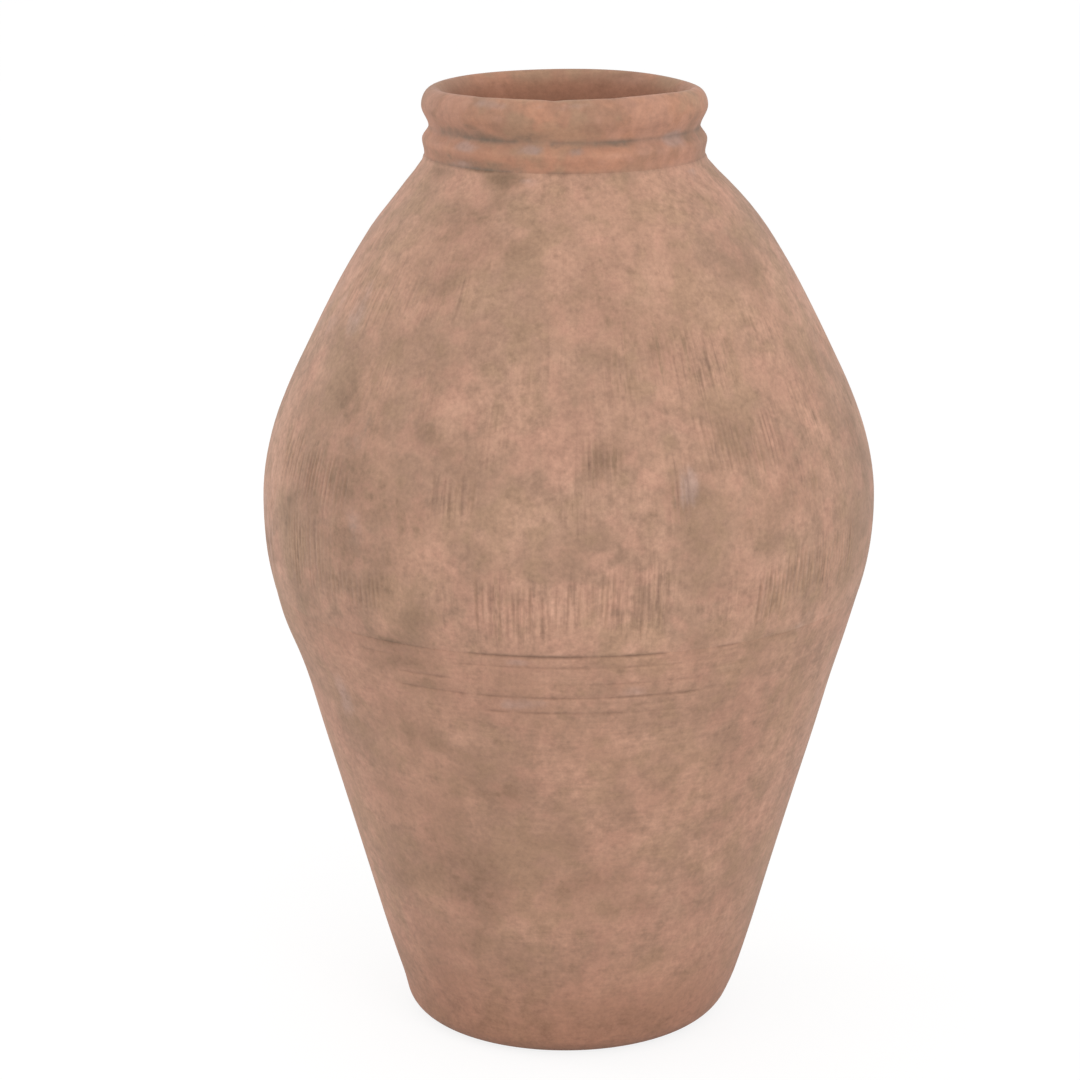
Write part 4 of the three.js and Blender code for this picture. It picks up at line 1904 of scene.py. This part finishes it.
@dataclass
class SeamCoil(Coil):
    """The coil pressed over the seam inside."""

    node: str = "seam_coil"
    columns: int = 480
    thickness: float = 4.5 * MM
    edge: float = 1 * MM
    back_pitch: float = 6 * MM
    face_pitch: float = 2 * MM

    def outline(self) -> Outline:
        """Draws the back up the wall and the bulging face down again.

        Returns:
            The outline.
        """
        foot, top = self.sizes.seam_coil_foot, self.sizes.seam_coil_top
        back = self.line.behind_coil
        middle, half = (foot + top) / 2, (top - foot) / 2

        def face(height: float) -> float:
            """Gives the radius of the bulging face."""
            bulge = 1 - ((height - middle) / half) ** 2
            return float(back(height)) - self.edge - (self.thickness - self.edge) * bulge

        tongue_top = self.sizes.seam + self.sizes.tongue_height
        outline = Outline().follow(back, levels(foot, tongue_top, self.back_pitch))
        outline.follow(back, levels(tongue_top, top, self.back_pitch))
        return outline.follow(face, levels(top, foot, self.face_pitch))


# Studio

@dataclass(frozen=True)
class Lamp:
    """A wide soft lamp that faces the jar: its place, the width of its disc, and its watts."""

    name: str
    place: tuple[float, float, float]
    width: float
    power: float
    aim: tuple[float, float, float] = (0, 0, 0.3)

    def hang(self) -> None:
        """Adds the lamp."""
        place = Vector(self.place)
        turn = (Vector(self.aim) - place).to_track_quat("-Z", "Y").to_euler()
        bpy.ops.object.select_all(action="DESELECT")
        bpy.ops.object.light_add(type="AREA", location=place, rotation=turn)
        lamp = bpy.context.object
        lamp.name = self.name
        lamp.data.shape = "DISK"
        lamp.data.size = self.width
        lamp.data.energy = self.power


@dataclass(frozen=True)
class Studio:
    """A pale floor under plain soft light, and the camera at the photograph's angle."""

    camera_away: float = 2.126
    camera_height: float = 0.860
    tilt: float = 14.476
    focal_pixels: float = 3453.5
    image_width: float = 1080.0
    axis_pixel: float = 569.0
    sensor: float = 36.0
    white: Colour = (1, 1, 1, 1)
    floor_reach: float = 24.0
    floor_colour: Colour = (0.75, 0.75, 0.75, 1)
    floor_glow: float = 1.16
    glow_share: float = 0.72
    sky: float = 0.8
    lamps: tuple[Lamp, ...] = (
        Lamp("soft_lamp", (0.9, -2.2, 1.5), 1.6, 16.0),
        Lamp("side_lamp", (-2.4, 0.7, 0.9), 1.2, 10.5),
    )

    def place_camera(self) -> None:
        """Adds the camera, with the jar's axis a little right of the middle of its frame."""
        bpy.ops.object.select_all(action="DESELECT")
        bpy.ops.object.camera_add(
            location=(0, -self.camera_away, self.camera_height),
            rotation=(math.radians(90 - self.tilt), 0, 0),
        )
        camera = bpy.context.object
        camera.name = "camera"
        camera.data.sensor_width = self.sensor
        camera.data.lens = self.focal_pixels / self.image_width * self.sensor
        camera.data.shift_x = (self.image_width / 2 - self.axis_pixel) / self.image_width
        bpy.context.scene.camera = camera

    def mix(self, graph: Graph, share: Reading | float, first: bpy.types.Node, second: bpy.types.Node,
            output: str) -> None:
        """Mixes two shaders and ends the graph with them.

        Args:
            graph: the nodes of a material or world.
            share: how much of the second shows.
            first: a shader.
            second: another shader.
            output: the type of the output node.
        """
        sockets = {0: share, 1: first.outputs[0], 2: second.outputs[0]}
        both = graph.node("ShaderNodeMixShader", inputs=sockets)
        graph.node(output, inputs={"Surface": both.outputs["Shader"]})

    def lay_floor(self) -> None:
        """Adds the pale floor, which keeps a soft shadow."""
        bpy.ops.object.select_all(action="DESELECT")
        bpy.ops.mesh.primitive_plane_add(size=self.floor_reach, location=(0, 0, 0))
        floor = bpy.context.object
        floor.name = "floor"
        material = bpy.data.materials.new("pale_floor")
        material.use_nodes = True
        graph = Graph(material.node_tree)
        matte = graph.node("ShaderNodeBsdfDiffuse", inputs={"Color": self.floor_colour})
        glow = graph.node("ShaderNodeEmission", inputs={"Color": self.white, "Strength": self.floor_glow})
        self.mix(graph, graph.seen() * self.glow_share, matte, glow, "ShaderNodeOutputMaterial")
        floor.data.materials.append(material)

    def light(self) -> None:
        """Adds an even sky that the camera sees as white, and the lamps."""
        world = bpy.data.worlds.new("soft_sky")
        world.use_nodes = True
        bpy.context.scene.world = world
        graph = Graph(world.node_tree)
        lit = graph.node("ShaderNodeBackground", inputs={"Color": self.white, "Strength": self.sky})
        bright = graph.node("ShaderNodeBackground", inputs={"Color": self.white, "Strength": 1.0})
        self.mix(graph, graph.seen(), lit, bright, "ShaderNodeOutputWorld")
        for lamp in self.lamps:
            lamp.hang()


def main() -> None:
    """Builds the studio and every piece."""
    logging.basicConfig(level=logging.INFO, format="%(name)s: %(message)s")
    noise.seed_set(NOISE_SEED)
    bpy.context.scene.view_settings.view_transform = "Standard"
    studio = Studio()
    studio.place_camera()
    studio.lay_floor()
    studio.light()

    sizes = Sizes.from_frame()
    line = BodyLine.of(sizes)
    form = HandForm()
    stains = Stains()
    combed = Clay("combed_clay", "fired_clay", Streak.UPRIGHT)
    turned = Clay("turned_clay", "fired_clay", Streak.LEVEL, mottling=0.85)
    wiped = Clay(
        "wiped_clay", "lip_clay", Streak.LEVEL,
        tan=tone(172, 131, 108), salmon=tone(187, 137, 112), peach=tone(206, 153, 123),
        umber=tone(144, 118, 98), soot=tone(106, 93, 80), dirt=tone(100, 96, 87),
        grain=0.12 * MM, smear=0.1 * MM, roughness=0.86, mottling=0.6,
    )
    pressed = Clay("pressed_clay", "inside_clay", Streak.NONE)
    cage = form.cage(sizes.top, sizes.belly_radius)
    for kind, clay in (
        (BaseSlab, turned),
        (LowerWall, turned),
        (UpperWall, combed),
        (NeckBead, wiped),
        (RimRoll, wiped),
        (FloorCoil, pressed),
        (SeamCoil, pressed),
    ):
        material = bpy.data.materials.get(clay.name) or clay.build()
        piece = kind(sizes, line, form, stains, clay).build(cage, material)
        LOG.info("%s: %d points, %d faces", piece.name, len(piece.data.vertices), len(piece.data.polygons))
    bpy.data.objects.remove(cage)


if __name__ == "__main__":
    main()
